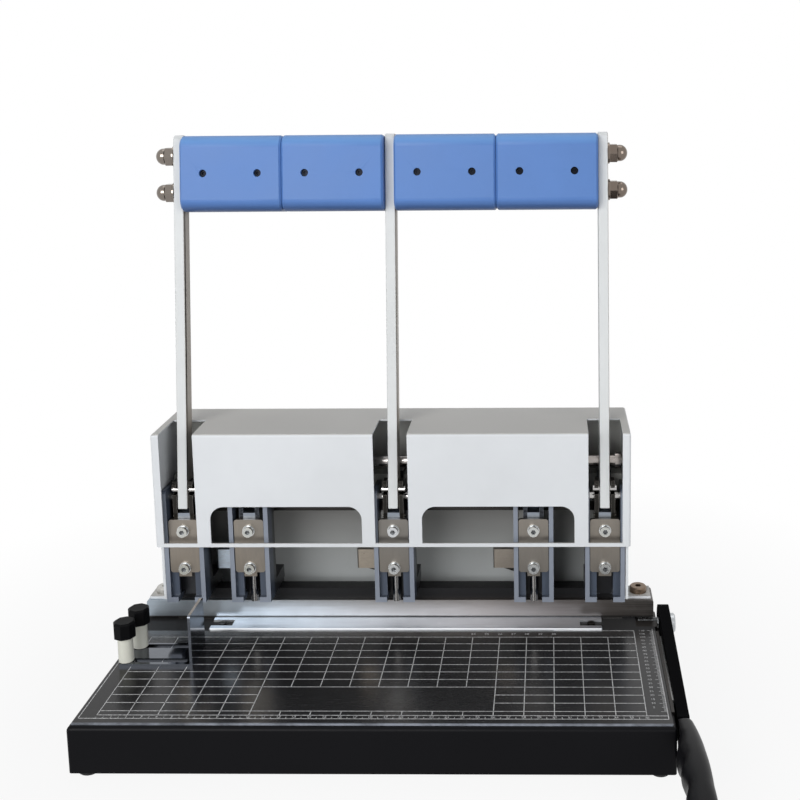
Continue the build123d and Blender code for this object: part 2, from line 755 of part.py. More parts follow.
def add_punch(x):
    """Hollow punch pin under a ram, open at its tip."""
    tip = z_at(punch_tip_rise)
    with BuildSketch(Plane.XY.offset(tip)) as pin_face:
        with Locations((x, y_at(punch_y))):
            Circle(punch_diameter / 2)
    extrude(pin_face.sketch, amount=z_at(ram_bottom_rise) - tip)
    with BuildSketch(Plane.XY.offset(tip)) as bore_face:
        with Locations((x, y_at(punch_y))):
            Circle(punch_bore / 2)
    extrude(bore_face.sketch, amount=punch_bore_depth, mode=Mode.SUBTRACT)


# Rams, plates, bolts and punch that move with the press beam
with BuildPart() as rams:
    for head_x in fixed_head_xs:
        add_ram(head_x, 0.0)
export_piece(rams, "rams")

with BuildPart() as front_plates:
    for head_x in fixed_head_xs:
        add_plate(head_x)
export_piece(front_plates, "front_plates")

with BuildPart() as plate_bolts:
    for head_x in fixed_head_xs:
        add_plate_bolts(head_x)
export_piece(plate_bolts, "plate_bolts")

with BuildPart() as punch_centre:
    add_punch(0.0)
export_piece(punch_centre, "punch_centre")

# The same pieces on each sliding head
for side_name, head_x in (("left", left_slider_x), ("right", right_slider_x)):
    with BuildPart() as ram_inner:
        add_ram(head_x, slide_clearance)
        for side in (-1, 1):
            plate_mid = head_x + side * (stem_width + fork_thickness) / 2
            block(plate_mid - fork_thickness / 2, plate_mid + fork_thickness / 2, lips_front + 0.3,
                  cavity_back - 1, z_at(fork_bottom_rise), z_at(stem_plate_top_rise))
    export_piece(ram_inner, f"ram_inner_{side_name}")
    with BuildPart() as plate_inner:
        add_plate(head_x)
    export_piece(plate_inner, f"plate_inner_{side_name}")
    with BuildPart() as bolts_inner:
        add_plate_bolts(head_x)
    export_piece(bolts_inner, f"bolts_inner_{side_name}")
    with BuildPart() as punch_inner:
        add_punch(head_x)
    export_piece(punch_inner, f"punch_inner_{side_name}")

# Drive forks: a pair of plates on each stem, whose open jaws hold the crank pin.
# The pin swings on an arc and the ram runs in step with the lever, so the slot
# is taller than the pin by the most that the two motions differ.
quarter_lag = crank_radius * sin(radians(crank_half_turn / 2)) - stroke / 4
slot_height = crank_pin_diameter + 2 * (quarter_lag + fork_play)
jaw_front = fulcrum_y - crank_radius - 1
jaw_back = fulcrum_y - fulcrum_pin_diameter / 2 - fork_back_gap
slot_back = crank_y + crank_pin_diameter / 2 + 0.25
fork_top = crank_z + slot_height / 2 + fork_jaw
with BuildPart() as drive_forks:
    for head_x in fixed_head_xs:
        for side in (-1, 1):
            fork_mid = head_x + side * (stem_width / 2 + fork_thickness / 2)
            with BuildSketch(side_plane(fork_mid)):
                with BuildLine():
                    Polyline((lips_front + 0.3, z_at(fork_bottom_rise)),
                             (cavity_back - 1, z_at(fork_bottom_rise)),
                             (cavity_back - 1, z_at(stem_top_rise)), (jaw_back, z_at(stem_top_rise) + 3),
                             (jaw_back, fork_top), (jaw_front + 2, fork_top),
                             (jaw_front, fork_top - 2), (jaw_front, z_at(plate_top_rise) + 4),
                             (lips_front + 0.3, z_at(plate_top_rise) + 0.6), close=True)
                make_face()
                with Locations(((jaw_front + slot_back) / 2 - 1, crank_z)):
                    Rectangle(slot_back - jaw_front + 2, slot_height, mode=Mode.SUBTRACT)
            extrude(amount=fork_thickness / 2, both=True)
        with BuildSketch(side_plane(head_x - stem_width / 2 - fork_thickness)):
            with Locations((lips_front + 3, z_at(stem_top_rise) - 3)):
                Circle(1.2)
        extrude(amount=-0.8)
        with BuildSketch(side_plane(head_x + stem_width / 2 + fork_thickness)):
            with Locations((lips_front + 3, z_at(stem_top_rise) - 3)):
                Circle(1.2)
        extrude(amount=0.8)
export_piece(drive_forks, "drive_forks")

# Return springs under the rams' lugs, drawn as plain sleeves
with BuildPart() as return_springs:
    with BuildSketch(Plane.XY.offset(head_foot_top)):
        for head_x in fixed_head_xs:
            with Locations((head_x, y_at(spring_y))):
                Circle(spring_diameter / 2)
                Circle(spring_bore / 2, mode=Mode.SUBTRACT)
    extrude(amount=z_at(lug_bottom_rise) - head_foot_top - spring_gap)
export_piece(return_springs, "return_springs")

# Head locks: a block on the left of the head's web and a gusset under it
lock_low = z_at(lock_bottom_rise)
lock_back = lock_front + lock_depth
for label, head_x in (("lock_left", left_slider_x), ("lock_centre", 0.0), ("lock_right", right_slider_x)):
    with BuildPart() as head_lock:
        web_face = head_x - web_half
        lock_end = head_x - lock_reach
        block(lock_end, web_face, lock_front, lock_back, lock_low, lock_low + lock_height)
        fillet(head_lock.edges().filter_by(Axis.Z).sort_by(Axis.X)[:2], radius=lock_corner_radius)
        gusset_low = head_foot_top + slide_clearance
        with BuildSketch(front_plane(lock_back)):
            with BuildLine():
                Polyline((web_face, lock_low), (lock_end + gusset_foot, lock_low),
                         (web_face - gusset_foot, gusset_low), (web_face, gusset_low), close=True)
            make_face()
        extrude(amount=gusset_thickness)
    export_piece(head_lock, label)


def lever_plane(x):
    """A plane across the levers: its own x runs back, its own y up along the middle of the leaning arm."""
    return Plane(origin=(x, y_at(lever_y), lever_z), x_dir=(0, lean_cos, -lean_sin), z_dir=(1, 0, 0))


def handle_plane(x):
    """A plane along the leaning arms that faces the operator: its own y runs up the arm."""
    return Plane(origin=(x, y_at(lever_y), lever_z), x_dir=(1, 0, 0), z_dir=(0, -lean_cos, lean_sin))


fulcrum_local = (arm_offset, 0.0)
crank_local = (arm_offset + crank_radius * cos(crank_angle), crank_radius * sin(crank_angle))
handle_rods_along = (grip_centre_along - handle_rod_spacing / 2, grip_centre_along + handle_rod_spacing / 2)

# Where the line of the arm's heel touches the boss round the fulcrum
heel_across = arm_depth / 2 - arm_offset
heel_normal = atan2(arm_heel_top, heel_across) - acos(fulcrum_boss_radius / hypot(heel_across, arm_heel_top))
heel_tangent = (arm_offset + fulcrum_boss_radius * cos(heel_normal), fulcrum_boss_radius * sin(heel_normal))

# Lever arms: flat bars, square at the foot, with the fulcrum's boss behind them
arm_half = arm_depth / 2
arm_low = -fulcrum_boss_radius
for label, arm_x in zip(("arm_left", "arm_centre", "arm_right"), fixed_head_xs):
    with BuildPart() as lever_arm:
        with BuildSketch(lever_plane(arm_x)):
            with BuildLine():
                Polyline((-arm_half, arm_low), (arm_offset, arm_low), heel_tangent, (arm_half, arm_heel_top),
                         (arm_half, arm_length - arm_corner), (arm_half - arm_corner, arm_length),
                         (arm_corner - arm_half, arm_length), (-arm_half, arm_length - arm_corner),
                         close=True)
            make_face()
            with Locations(fulcrum_local):
                Circle(fulcrum_boss_radius)
                Circle(fulcrum_pin_diameter / 2 + running, mode=Mode.SUBTRACT)
            with Locations(crank_local):
                Circle(crank_pin_diameter / 2, mode=Mode.SUBTRACT)
            with Locations(*[(0, along) for along in handle_rods_along]):
                Circle(handle_rod_diameter / 2, mode=Mode.SUBTRACT)
        extrude(amount=arm_thickness / 2, both=True)
    export_piece(lever_arm, label)

# Crank pins, pressed in the arms above the fulcrum
with BuildPart() as crank_pins:
    for arm_x in fixed_head_xs:
        with BuildSketch(lever_plane(arm_x)):
            with Locations(crank_local):
                Circle(crank_pin_diameter / 2)
        extrude(amount=stem_width / 2 + fork_thickness + 1.2, both=True)
export_piece(crank_pins, "crank_pins")

# Grips: four moulded blocks, each with two recessed screws
grip_length = (outer_head_x - arm_thickness) / 2 - 1.5 * grip_gap
grip_xs = []
for side in (-1, 1):
    for order in (0, 1):
        inner_edge = arm_thickness / 2 + grip_gap + order * (grip_length + grip_gap)
        grip_xs.append(side * (inner_edge + grip_length / 2))
grip_xs.sort()
screw_spots = [(side * grip_screw_spacing / 2, grip_centre_along) for side in (-1, 1)]
with BuildPart() as grip_screws:
    for grip_x in grip_xs:
        screw_plane = handle_plane(grip_x)
        screw_depth = grip_depth / 2 - grip_screw_recess
        with BuildSketch(screw_plane.offset(screw_depth)):
            with Locations(*screw_spots):
                Circle(grip_screw_diameter / 2)
        extrude(amount=-grip_screw_length)
        with BuildSketch(screw_plane.offset(screw_depth)):
            with Locations(*screw_spots):
                RegularPolygon(grip_screw_socket / 2, 6)
        extrude(amount=-grip_screw_socket_depth, mode=Mode.SUBTRACT)
export_piece(grip_screws, "grip_screws")

for number, grip_x in enumerate(grip_xs, start=1):
    with BuildPart() as grip:
        with BuildSketch(lever_plane(grip_x)):
            with Locations((0, grip_centre_along)):
                RectangleRounded(grip_depth, grip_height, grip_corner_radius)
        extrude(amount=grip_length / 2, both=True)
        chamfer(grip.edges().group_by(Axis.X)[0] + grip.edges().group_by(Axis.X)[-1], length=grip_end_chamfer)
        with BuildSketch(lever_plane(grip_x)):
            with Locations(*[(0, along) for along in handle_rods_along]):
                Circle(handle_rod_diameter / 2 + running)
        extrude(amount=grip_length / 2, both=True, mode=Mode.SUBTRACT)
        screw_plane = handle_plane(grip_x)
        with BuildSketch(screw_plane.offset(grip_depth / 2)):
            with Locations(*screw_spots):
                Circle(grip_screw_diameter / 2)
        extrude(amount=-grip_screw_recess - grip_screw_length, mode=Mode.SUBTRACT)
    export_piece(grip, f"grip_{number}")

# Two rods through the arms and the grips
arm_outer = outer_head_x + arm_thickness / 2
with BuildPart() as handle_rods:
    with BuildSketch(lever_plane(-arm_outer - nut_washer_thickness - nut_height)):
        with Locations(*[(0, along) for along in handle_rods_along]):
            Circle(handle_rod_diameter / 2)
    extrude(amount=2 * (arm_outer + nut_washer_thickness + nut_height))
export_piece(handle_rods, "handle_rods")

# Washers and acorn nuts at both ends of the rods
with BuildPart() as acorn_nuts:
    for side in (-1, 1):
        for along in handle_rods_along:
            with BuildSketch(lever_plane(side * arm_outer)):
                with Locations((0, along)):
                    Circle(nut_washer_diameter / 2)
            extrude(amount=side * nut_washer_thickness)
            with BuildSketch(lever_plane(side * (arm_outer + nut_washer_thickness))):
                with Locations((0, along)):
                    RegularPolygon(nut_flats / 2, 6, major_radius=False)
            extrude(amount=side * nut_height)
            nut_face = lever_plane(side * (arm_outer + nut_washer_thickness + nut_height))
            with BuildSketch(nut_face):
                with Locations((0, along)):
                    Circle(nut_dome_radius)
            extrude(amount=side * nut_dome_length, taper=nut_dome_taper)
    with BuildSketch(lever_plane(-arm_outer - nut_washer_thickness - nut_height)):
        with Locations(*[(0, along) for along in handle_rods_along]):
            Circle(handle_rod_diameter / 2)
    extrude(amount=2 * (arm_outer + nut_washer_thickness + nut_height), mode=Mode.SUBTRACT)
export_piece(acorn_nuts, "acorn_nuts")

# Side guide: an upright fence on a slotted foot plate
with BuildPart() as side_guide:
    block(fence_x - fence_thickness / 2, fence_x + fence_thickness / 2, fence_front, fence_back,
          board_top, board_top + fence_height)
    fillet(side_guide.edges().filter_by(Axis.X).group_by(Axis.Z)[-1], radius=fence_corner_radius)
    block(foot_plate_left, fence_x + fence_thickness / 2, fence_front, fence_back,
          board_top, board_top + foot_plate_thickness)
    with BuildSketch(Plane.XY.offset(board_top)):
        for knob_x, knob_offset in knob_places:
            slot_length = guide_slot_end - knob_x + guide_slot_width
            with Locations(((guide_slot_end + knob_x) / 2, y_at(knob_offset))):
                SlotOverall(slot_length, guide_slot_width)
    extrude(amount=foot_plate_thickness, mode=Mode.SUBTRACT)
export_piece(side_guide, "side_guide")

# Studs and white collars that press the foot plate down
collar_low = board_top + foot_plate_thickness + slide_clearance
collar_high = collar_low + collar_height
with BuildPart() as guide_collars:
    for knob_x, knob_offset in knob_places:
        with BuildSketch(Plane.XY.offset(board_top)):
            with Locations((knob_x, y_at(knob_offset))):
                Circle(stud_diameter / 2)
        extrude(amount=collar_high - board_top + cap_socket_depth - 0.5)
        with BuildSketch(Plane.XY.offset(collar_low)):
            with Locations((knob_x, y_at(knob_offset))):
                Circle(collar_outer / 2)
        extrude(amount=collar_height)
export_piece(guide_collars, "guide_collars")

# Black caps that screw down on the studs
for label, (knob_x, knob_offset) in zip(("guide_cap_front", "guide_cap_rear"), knob_places):
    with BuildPart() as guide_cap:
        with BuildSketch(Plane.XY.offset(collar_high + slide_clearance)):
            with Locations((knob_x, y_at(knob_offset))):
                RegularPolygon(cap_flats / 2, 8, major_radius=False)
        extrude(amount=cap_height)
        fillet(guide_cap.edges().filter_by(Axis.Z), radius=cap_corner_radius)
        chamfer(guide_cap.edges().group_by(Axis.Z)[-1], length=cap_chamfer)
        with BuildSketch(Plane.XY.offset(collar_high + slide_clearance)):
            with Locations((knob_x, y_at(knob_offset))):
                Circle(stud_diameter / 2 + running)
        extrude(amount=cap_socket_depth, mode=Mode.SUBTRACT)
    export_piece(guide_cap, label)

# Counter blade, let into the right edge of the base
with BuildPart() as counter_blade:
    block(base_width / 2 - counter_blade_thickness, base_width / 2, counter_blade_front,
          counter_blade_front + counter_blade_depth, base_top - counter_blade_height, board_top)
export_piece(counter_blade, "counter_blade")

# Pivot block of the trimmer, let into the base's right edge
pivot_z = z_at(trimmer_pivot_rise)
with BuildPart() as pivot_block:
    block(base_width / 2 - pivot_block_width, base_width / 2, pivot_block_front,
          pivot_block_front + pivot_block_depth, pivot_block_low, board_top)
    with BuildSketch(side_plane(base_width / 2)):
        with Locations((trimmer_pivot_y, pivot_z)):
            Circle(pivot_diameter / 2)
    extrude(amount=-pivot_length, mode=Mode.SUBTRACT)
export_piece(pivot_block, "pivot_block")

# Trimmer arm: a flat bar that ends in a tang inside the grip
trimmer_inner = base_width / 2 + trimmer_gap
trimmer_mid = trimmer_inner + trimmer_thickness / 2
tang_low = z_at(trimmer_tang_rise)
tang_high = tang_low + trimmer_tang_height
with BuildPart() as trimmer_arm:
    with BuildSketch(side_plane(trimmer_mid)):
        with Locations((trimmer_pivot_y, pivot_z)):
            Circle(trimmer_boss_radius)
        with BuildLine():
            Polyline((trimmer_pivot_y, pivot_z + trimmer_boss_radius),
                     (trimmer_grip_back + 4, tang_high + 3), (trimmer_grip_back, tang_high + 3),
                     (trimmer_grip_back, tang_high), (trimmer_tang_front, tang_high),
                     (trimmer_tang_front, tang_low), (trimmer_grip_back, tang_low),
                     (trimmer_grip_back, tang_low - 3), (trimmer_grip_back + 4, tang_low - 3),
                     (trimmer_pivot_y, pivot_z - trimmer_boss_radius), close=True)
        make_face()
        with Locations((trimmer_pivot_y, pivot_z)):
            Circle(pivot_diameter / 2 + running, mode=Mode.SUBTRACT)
    extrude(amount=trimmer_thickness / 2, both=True)
export_piece(trimmer_arm, "trimmer_arm")

# Pivot bolt of the trimmer
with BuildPart() as pivot_bolt:
    with BuildSketch(side_plane(trimmer_inner + trimmer_thickness)):
        with Locations((trimmer_pivot_y, pivot_z)):
            Circle(pivot_head_diameter / 2)
    extrude(amount=pivot_head_height)
    chamfer(pivot_bolt.edges().group_by(Axis.X)[-1], length=pivot_head_chamfer)
    with BuildSketch(side_plane(trimmer_inner + trimmer_thickness)):
        with Locations((trimmer_pivot_y, pivot_z)):
            Circle(pivot_diameter / 2)
    extrude(amount=-trimmer_thickness - trimmer_gap - pivot_length)
    with BuildSketch(side_plane(trimmer_inner + trimmer_thickness + pivot_head_height)):
        with Locations((trimmer_pivot_y, pivot_z)):
            RegularPolygon(pivot_socket / 2, 6)
    extrude(amount=-pivot_socket_depth, mode=Mode.SUBTRACT)
export_piece(pivot_bolt, "pivot_bolt")

# Trimmer blade, screwed to the arm's inner face
with BuildPart() as trimmer_blade:
    with BuildSketch(side_plane(trimmer_inner - blade_thickness)):
        with BuildLine():
            Polyline((blade_front, z_at(blade_rise)), (blade_back, z_at(blade_rise) + 6),
                     (blade_back, z_at(blade_rise) + blade_height),
                     (blade_front, z_at(blade_rise) + blade_height), close=True)
        make_face()
    extrude(amount=blade_thickness)
export_piece(trimmer_blade, "trimmer_blade")

# Trimmer grip: a moulded handle with finger hollows along its lower side
grip_mid_x = trimmer_inner - slide_clearance + trimmer_grip_width / 2 - trimmer_grip_inset
with BuildPart() as trimmer_grip:
    with BuildSketch(side_plane(grip_mid_x)):
        with BuildLine():
            outline = [(along, z_at(rise)) for along, rise in trimmer_grip_fingers]
            ThreePointArc(*[(along, z_at(rise)) for along, rise in trimmer_grip_top])
            ThreePointArc(*[(along, z_at(rise)) for along, rise in trimmer_grip_nose])
            ThreePointArc(*outline[:3])
            ThreePointArc(*outline[2:5])
            ThreePointArc(*outline[4:])
            Line(outline[-1], (trimmer_grip_top[0][0], z_at(trimmer_grip_top[0][1])))
        make_face()
    extrude(amount=trimmer_grip_width / 2, both=True)
    fillet(trimmer_grip.edges().group_by(Axis.X)[-1], radius=trimmer_grip_radius)
    block(trimmer_mid - trimmer_thickness / 2, trimmer_mid + trimmer_thickness / 2,
          trimmer_tang_front, trimmer_grip_back, tang_low, tang_high, Mode.SUBTRACT)
    block(grip_mid_x - trimmer_grip_width, trimmer_inner, trimmer_grip_step, trimmer_grip_back + 1,
          z_at(trimmer_tang_rise) - trimmer_grip_width, board_top + trimmer_grip_width, Mode.SUBTRACT)
export_piece(trimmer_grip, "trimmer_grip")
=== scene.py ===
import bpy
import bmesh
import math
from mathutils import Matrix, Vector


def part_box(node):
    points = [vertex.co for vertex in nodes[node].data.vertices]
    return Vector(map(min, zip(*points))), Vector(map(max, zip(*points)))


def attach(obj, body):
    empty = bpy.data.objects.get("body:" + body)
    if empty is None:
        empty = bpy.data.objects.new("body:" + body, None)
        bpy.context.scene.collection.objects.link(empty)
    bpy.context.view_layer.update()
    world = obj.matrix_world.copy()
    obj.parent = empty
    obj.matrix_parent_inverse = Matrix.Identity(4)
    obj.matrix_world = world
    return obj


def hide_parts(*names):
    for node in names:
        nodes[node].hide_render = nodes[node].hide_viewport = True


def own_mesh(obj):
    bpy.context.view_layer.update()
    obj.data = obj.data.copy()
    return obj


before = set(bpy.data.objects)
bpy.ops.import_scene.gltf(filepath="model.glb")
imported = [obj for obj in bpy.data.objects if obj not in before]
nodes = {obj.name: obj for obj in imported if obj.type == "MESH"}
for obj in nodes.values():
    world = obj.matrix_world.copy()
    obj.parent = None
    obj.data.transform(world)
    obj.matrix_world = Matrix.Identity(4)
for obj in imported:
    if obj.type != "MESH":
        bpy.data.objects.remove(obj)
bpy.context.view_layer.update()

MM = 0.001
MIDDLE = 187.0      # the base's middle, mm to the right of the front left foot
FRONT = -10.0       # the base's front edge, mm behind that foot
BOARD = 37.0        # the board's top, mm above the table
INWARD = 102.5      # the base's middle, mm behind its front edge
SCENE = bpy.context.scene


def at(x, y, z):
    """A point: x from the middle, y behind the base's front edge, z above the board, in mm."""
    return Vector(((x + MIDDLE) * MM, (y + FRONT) * MM, (z + BOARD) * MM))


# Materials
class Nodes:
    """Short names for building a node material."""

    def __init__(self, name):
        self.material = bpy.data.materials.new(name)
        self.material.use_nodes = True
        self.tree = self.material.node_tree
        self.tree.nodes.clear()
        self.output = self.add("ShaderNodeOutputMaterial")
        self.coords = self.add("ShaderNodeTexCoord").outputs["Object"]

    def add(self, kind, **settings):
        node = self.tree.nodes.new(kind)
        for key, value in settings.items():
            setattr(node, key, value)
        return node

    def link(self, source, target):
        self.tree.links.new(source, target)

    def scaled(self, scale):
        mapping = self.add("ShaderNodeMapping")
        mapping.inputs["Scale"].default_value = scale
        self.link(self.coords, mapping.inputs["Vector"])
        return mapping.outputs["Vector"]

    def place(self, axis):
        """Where a point lies in the frame at rest, in metres, along "X", "Y" or "Z"."""
        split = self.add("ShaderNodeSeparateXYZ")
        self.link(self.coords, split.inputs[0])
        return split.outputs[axis]

    def facing(self, axis):
        """The surface's direction along one axis, from -1 to 1."""
        geometry = self.add("ShaderNodeNewGeometry")
        split = self.add("ShaderNodeSeparateXYZ")
        self.link(geometry.outputs["Normal"], split.inputs[0])
        return split.outputs[axis]

    def noise(self, scale, detail=3.0, roughness=0.55, vector=None, distortion=0.0):
        node = self.add("ShaderNodeTexNoise")
        node.inputs["Scale"].default_value = scale
        node.inputs["Detail"].default_value = detail
        node.inputs["Roughness"].default_value = roughness
        node.inputs["Distortion"].default_value = distortion
        self.link(vector or self.coords, node.inputs["Vector"])
        return node.outputs["Fac"]

    def ramp(self, value, stops):
        """Colours along a value: each stop is (place, colour)."""
        node = self.add("ShaderNodeValToRGB")
        elements = node.color_ramp.elements
        while len(elements) < len(stops):
            elements.new(0.5)
        for element, (place, colour) in zip(elements, stops):
            element.position = place
            element.color = (*colour, 1)
        self.link(value, node.inputs["Fac"])
        return node.outputs["Color"]

    def grey(self, value, low, high, start=0.0, end=1.0):
        """A value between start and end, mapped to low and high and kept between them."""
        node = self.add("ShaderNodeMapRange")
        node.inputs["From Min"].default_value = start
        node.inputs["From Max"].default_value = end
        node.inputs["To Min"].default_value = low
        node.inputs["To Max"].default_value = high
        self.link(value, node.inputs["Value"])
        return node.outputs["Result"]

    def math(self, operation, a, b):
        node = self.add("ShaderNodeMath", operation=operation)
        for socket, value in zip(node.inputs, (a, b)):
            if isinstance(value, (int, float)):
                socket.default_value = value
            else:
                self.link(value, socket)
        return node.outputs["Value"]

    def banded(self, base, bands):
        """Other colours past a place along an axis: each band is (axis, start, end, colour), in metres."""
        for axis, start, end, colour in bands:
            base = self.mix(self.grey(self.place(axis), 0.0, 1.0, start, end), base, colour)
        return base

    def faced(self, base, faces):
        """Painted light and shade: other colours on faces that look one way, each (axis, start, end,
        colour).
        """
        for axis, start, end, colour in faces:
            base = self.mix(self.grey(self.facing(axis), 0.0, 1.0, start, end), base, colour)
        return base

    def mix(self, factor, a, b):
        node = self.add("ShaderNodeMix", data_type="RGBA")
        for key, value in (("Factor", factor), ("A", a), ("B", b)):
            socket = next(s for s in node.inputs if s.name == key and s.enabled)
            if isinstance(value, (int, float)):
                socket.default_value = value
            elif isinstance(value, tuple):
                socket.default_value = (*value, 1)
            else:
                self.link(value, socket)
        return next(s for s in node.outputs if s.enabled)

    def edge(self, radius):
        """1 on edges, 0 on flat faces: the bevelled normal against the true one."""
        bevel = self.add("ShaderNodeBevel", samples=4)
        bevel.inputs["Radius"].default_value = radius
        geometry = self.add("ShaderNodeNewGeometry")
        dot = self.add("ShaderNodeVectorMath", operation="DOT_PRODUCT")
        self.link(bevel.outputs["Normal"], dot.inputs[0])
        self.link(geometry.outputs["Normal"], dot.inputs[1])
        return self.grey(dot.outputs["Value"], 1.0, 0.0, 0.75, 0.99)

    def bump(self, height, strength, distance):
        node = self.add("ShaderNodeBump")
        node.inputs["Strength"].default_value = strength
        node.inputs["Distance"].default_value = distance
        self.link(height, node.inputs["Height"])
        return node.outputs["Normal"]

    def shader(self, colour, roughness, metallic=0.0, normal=None, **constants):
        """The finished material: constants are sockets that have one value all over."""
        node = self.add("ShaderNodeBsdfPrincipled")
        node.inputs["Metallic"].default_value = metallic
        self.link(colour, node.inputs["Base Color"])
        self.link(roughness, node.inputs["Roughness"])
        if normal:
            self.link(normal, node.inputs["Normal"])
        for key, value in constants.items():
            node.inputs[key.replace("_", " ")].default_value = value
        self.link(node.outputs["BSDF"], self.output.inputs["Surface"])
        return self.material


def shade(colour, factor):
    return tuple(min(1.0, c * factor) for c in colour)


def enamel(name, colour, roughness, peel, dirt, edge_wear_and_highlight=None, spread=0.05, gloss=0.5, coat=0.0, faces=(),
           bands=(), front_shade=None):
    """Sprayed enamel or powder coat: orange peel, faint stains, rubbed edges that also carry a painted
    highlight.

    front_shade gives the faces that look forward painted light and shade, from a low to a high Z.
    """
    n = Nodes(name)
    cloud = n.noise(9.0, 4.0, 0.6)
    speck = n.noise(420.0, 2.0, 0.6)
    base = n.ramp(cloud, [(0.3, shade(colour, 1 - spread)), (0.7, shade(colour, 1 + spread * 0.6))])
    base = n.banded(n.faced(base, faces), bands)
    if front_shade:
        low, high, stops = front_shade
        painted_run = n.ramp(n.grey(n.place("Z"), 0.0, 1.0, low, high), stops)
        base = n.mix(n.grey(n.facing("Y"), 0.0, 1.0, -0.5, -0.9), base, painted_run)
    stain = n.grey(n.noise(34.0, 6.0, 0.7, distortion=0.6), 0.0, dirt, 0.5, 0.78)
    base = n.mix(stain, base, shade(colour, 0.55))
    if edge_wear_and_highlight:
        worn_lit_edges = n.math("MULTIPLY", n.edge(0.0007), n.grey(n.noise(160.0, 4.0, 0.7), 0.0, 1.0, 0.52, 0.66))
        base = n.mix(worn_lit_edges, base, edge_wear_and_highlight)
    rough = n.grey(n.math("ADD", n.math("MULTIPLY", cloud, 0.7), n.math("MULTIPLY", speck, 0.3)),
                   roughness * 0.82, roughness * 1.2, 0.3, 0.7)
    normal = n.bump(n.noise(1500.0, 2.0, 0.5), peel, 0.00005)
    return n.shader(base, rough, 0.0, normal, Coat_Weight=coat, Coat_Roughness=0.15,
                    Specular_IOR_Level=gloss)


def metal(name, colour, roughness, streak, streak_strength, tint=None, spread=0.12, along=None,
          edge_tone=1.25, faces=(), bands=()):
    """Bare metal: grain along one axis, cloudy tone, fine scuffs and brighter edges.

    along gives painted reflections as colours from a first to a last X.
    """
    n = Nodes(name)
    cloud = n.noise(14.0, 4.0, 0.6)
    base = n.ramp(cloud, [(0.32, shade(colour, 1 - spread)), (0.68, shade(colour, 1 + spread * 0.5))])
    if along:
        first, last, stops = along
        painted_run = n.ramp(n.grey(n.place("X"), 0.0, 1.0, first, last), stops)
        base = n.mix(0.9, base, painted_run)
    if tint:
        base = n.mix(n.grey(n.noise(6.5, 2.0, 0.5), 0.0, 0.8, 0.42, 0.62), base, tint)
    base = n.banded(n.faced(base, faces), bands)
    grain = n.noise(1.0, 4.0, 0.65, n.scaled(streak or (700, 700, 700)))
    base = n.mix(n.grey(grain, 0.0, 0.35, 0.35, 0.75), base, shade(colour, 0.72))
    base = n.mix(n.math("MULTIPLY", n.edge(0.0005), 0.5), base, shade(colour, edge_tone))
    scratch = n.noise(55.0, 6.0, 0.75, distortion=0.8)
    rough = n.grey(n.math("ADD", n.math("MULTIPLY", grain, 0.5), n.math("MULTIPLY", scratch, 0.3)),
                   roughness * 0.75, roughness * 1.35, 0.25, 0.6)
    normal = n.bump(grain, streak_strength, 0.00004)
    return n.shader(base, rough, 1.0, normal)


def plastic(name, colour, roughness, grain, strength, spread, gloss=0.5, faces=()):
    """Moulded plastic: fine spark-eroded grain, slight tone change, handled spots."""
    n = Nodes(name)
    cloud = n.noise(16.0, 3.0, 0.5)
    base = n.ramp(cloud, [(0.3, shade(colour, 1 - spread)), (0.7, shade(colour, 1 + spread))])
    base = n.faced(base, faces)
    fine = n.noise(grain, 3.0, 0.6)
    base = n.mix(n.grey(n.noise(70.0, 5.0, 0.7), 0.0, 0.12, 0.55, 0.8), base, shade(colour, 0.7))
    rough = n.grey(n.math("ADD", n.math("MULTIPLY", cloud, 0.6), n.math("MULTIPLY", fine, 0.4)),
                   roughness * 0.85, roughness * 1.2, 0.3, 0.7)
    normal = n.bump(fine, strength, 0.00006)
    return n.shader(base, rough, 0.0, normal, Specular_IOR_Level=gloss)


SHAFT_END = (198.0 + MIDDLE) * MM              # where the trimmer bolt's head part starts
BAR_ENDS = ((-195.0 + MIDDLE) * MM, (195.0 + MIDDLE) * MM)
BAR_GAP_SHADE = ((2.6 + BOARD) * MM, (1.9 + BOARD) * MM)     # painted shadow: the black gap under the bar
BAR_REFLECTION_TONES = [(0.0, (0.36, 0.43, 0.5)), (0.22, (0.31, 0.34, 0.36)), (0.45, (0.28, 0.27, 0.262)),
             (0.66, (0.27, 0.24, 0.222)), (0.82, (0.12, 0.1, 0.09)), (1.0, (0.05, 0.044, 0.04))]
SHEET_RISES = ((20.0 + BOARD) * MM, (150.0 + BOARD) * MM)
SHEET_SHADE_TONES = [(0.0, (0.45, 0.47, 0.47)), (0.35, (0.3, 0.3, 0.29)), (0.7, (0.3, 0.295, 0.28)),
               (0.9, (0.7, 0.7, 0.66))]
BOLT_FACE = (124.8 + FRONT) * MM               # the front of the plate bolts' heads
BOLT_SEAT = (128.2 + FRONT) * MM               # their washers
HEAD_INSIDE = (138.0 + FRONT) * MM             # behind this the heads are painted shadow black
LOCK_LOW = (41.0 + BOARD) * MM                 # the underside of the lock blocks
LOCK_LEFT = (-122.0 + MIDDLE) * MM
HEAD_FRONT = (128.5 + FRONT) * MM              # the front edges of the heads' cheeks
RAM_LEFT, RAM_RIGHT = ((x + MIDDLE) * MM for x in (-108.0, 104.0))
STEM_HALF = 4.5 * MM
SHADOW_BLACK = (0.012, 0.012, 0.014)
DARK_BLUE = (0.06, 0.075, 0.105)
RAM_GREY = (0.3, 0.335, 0.385)

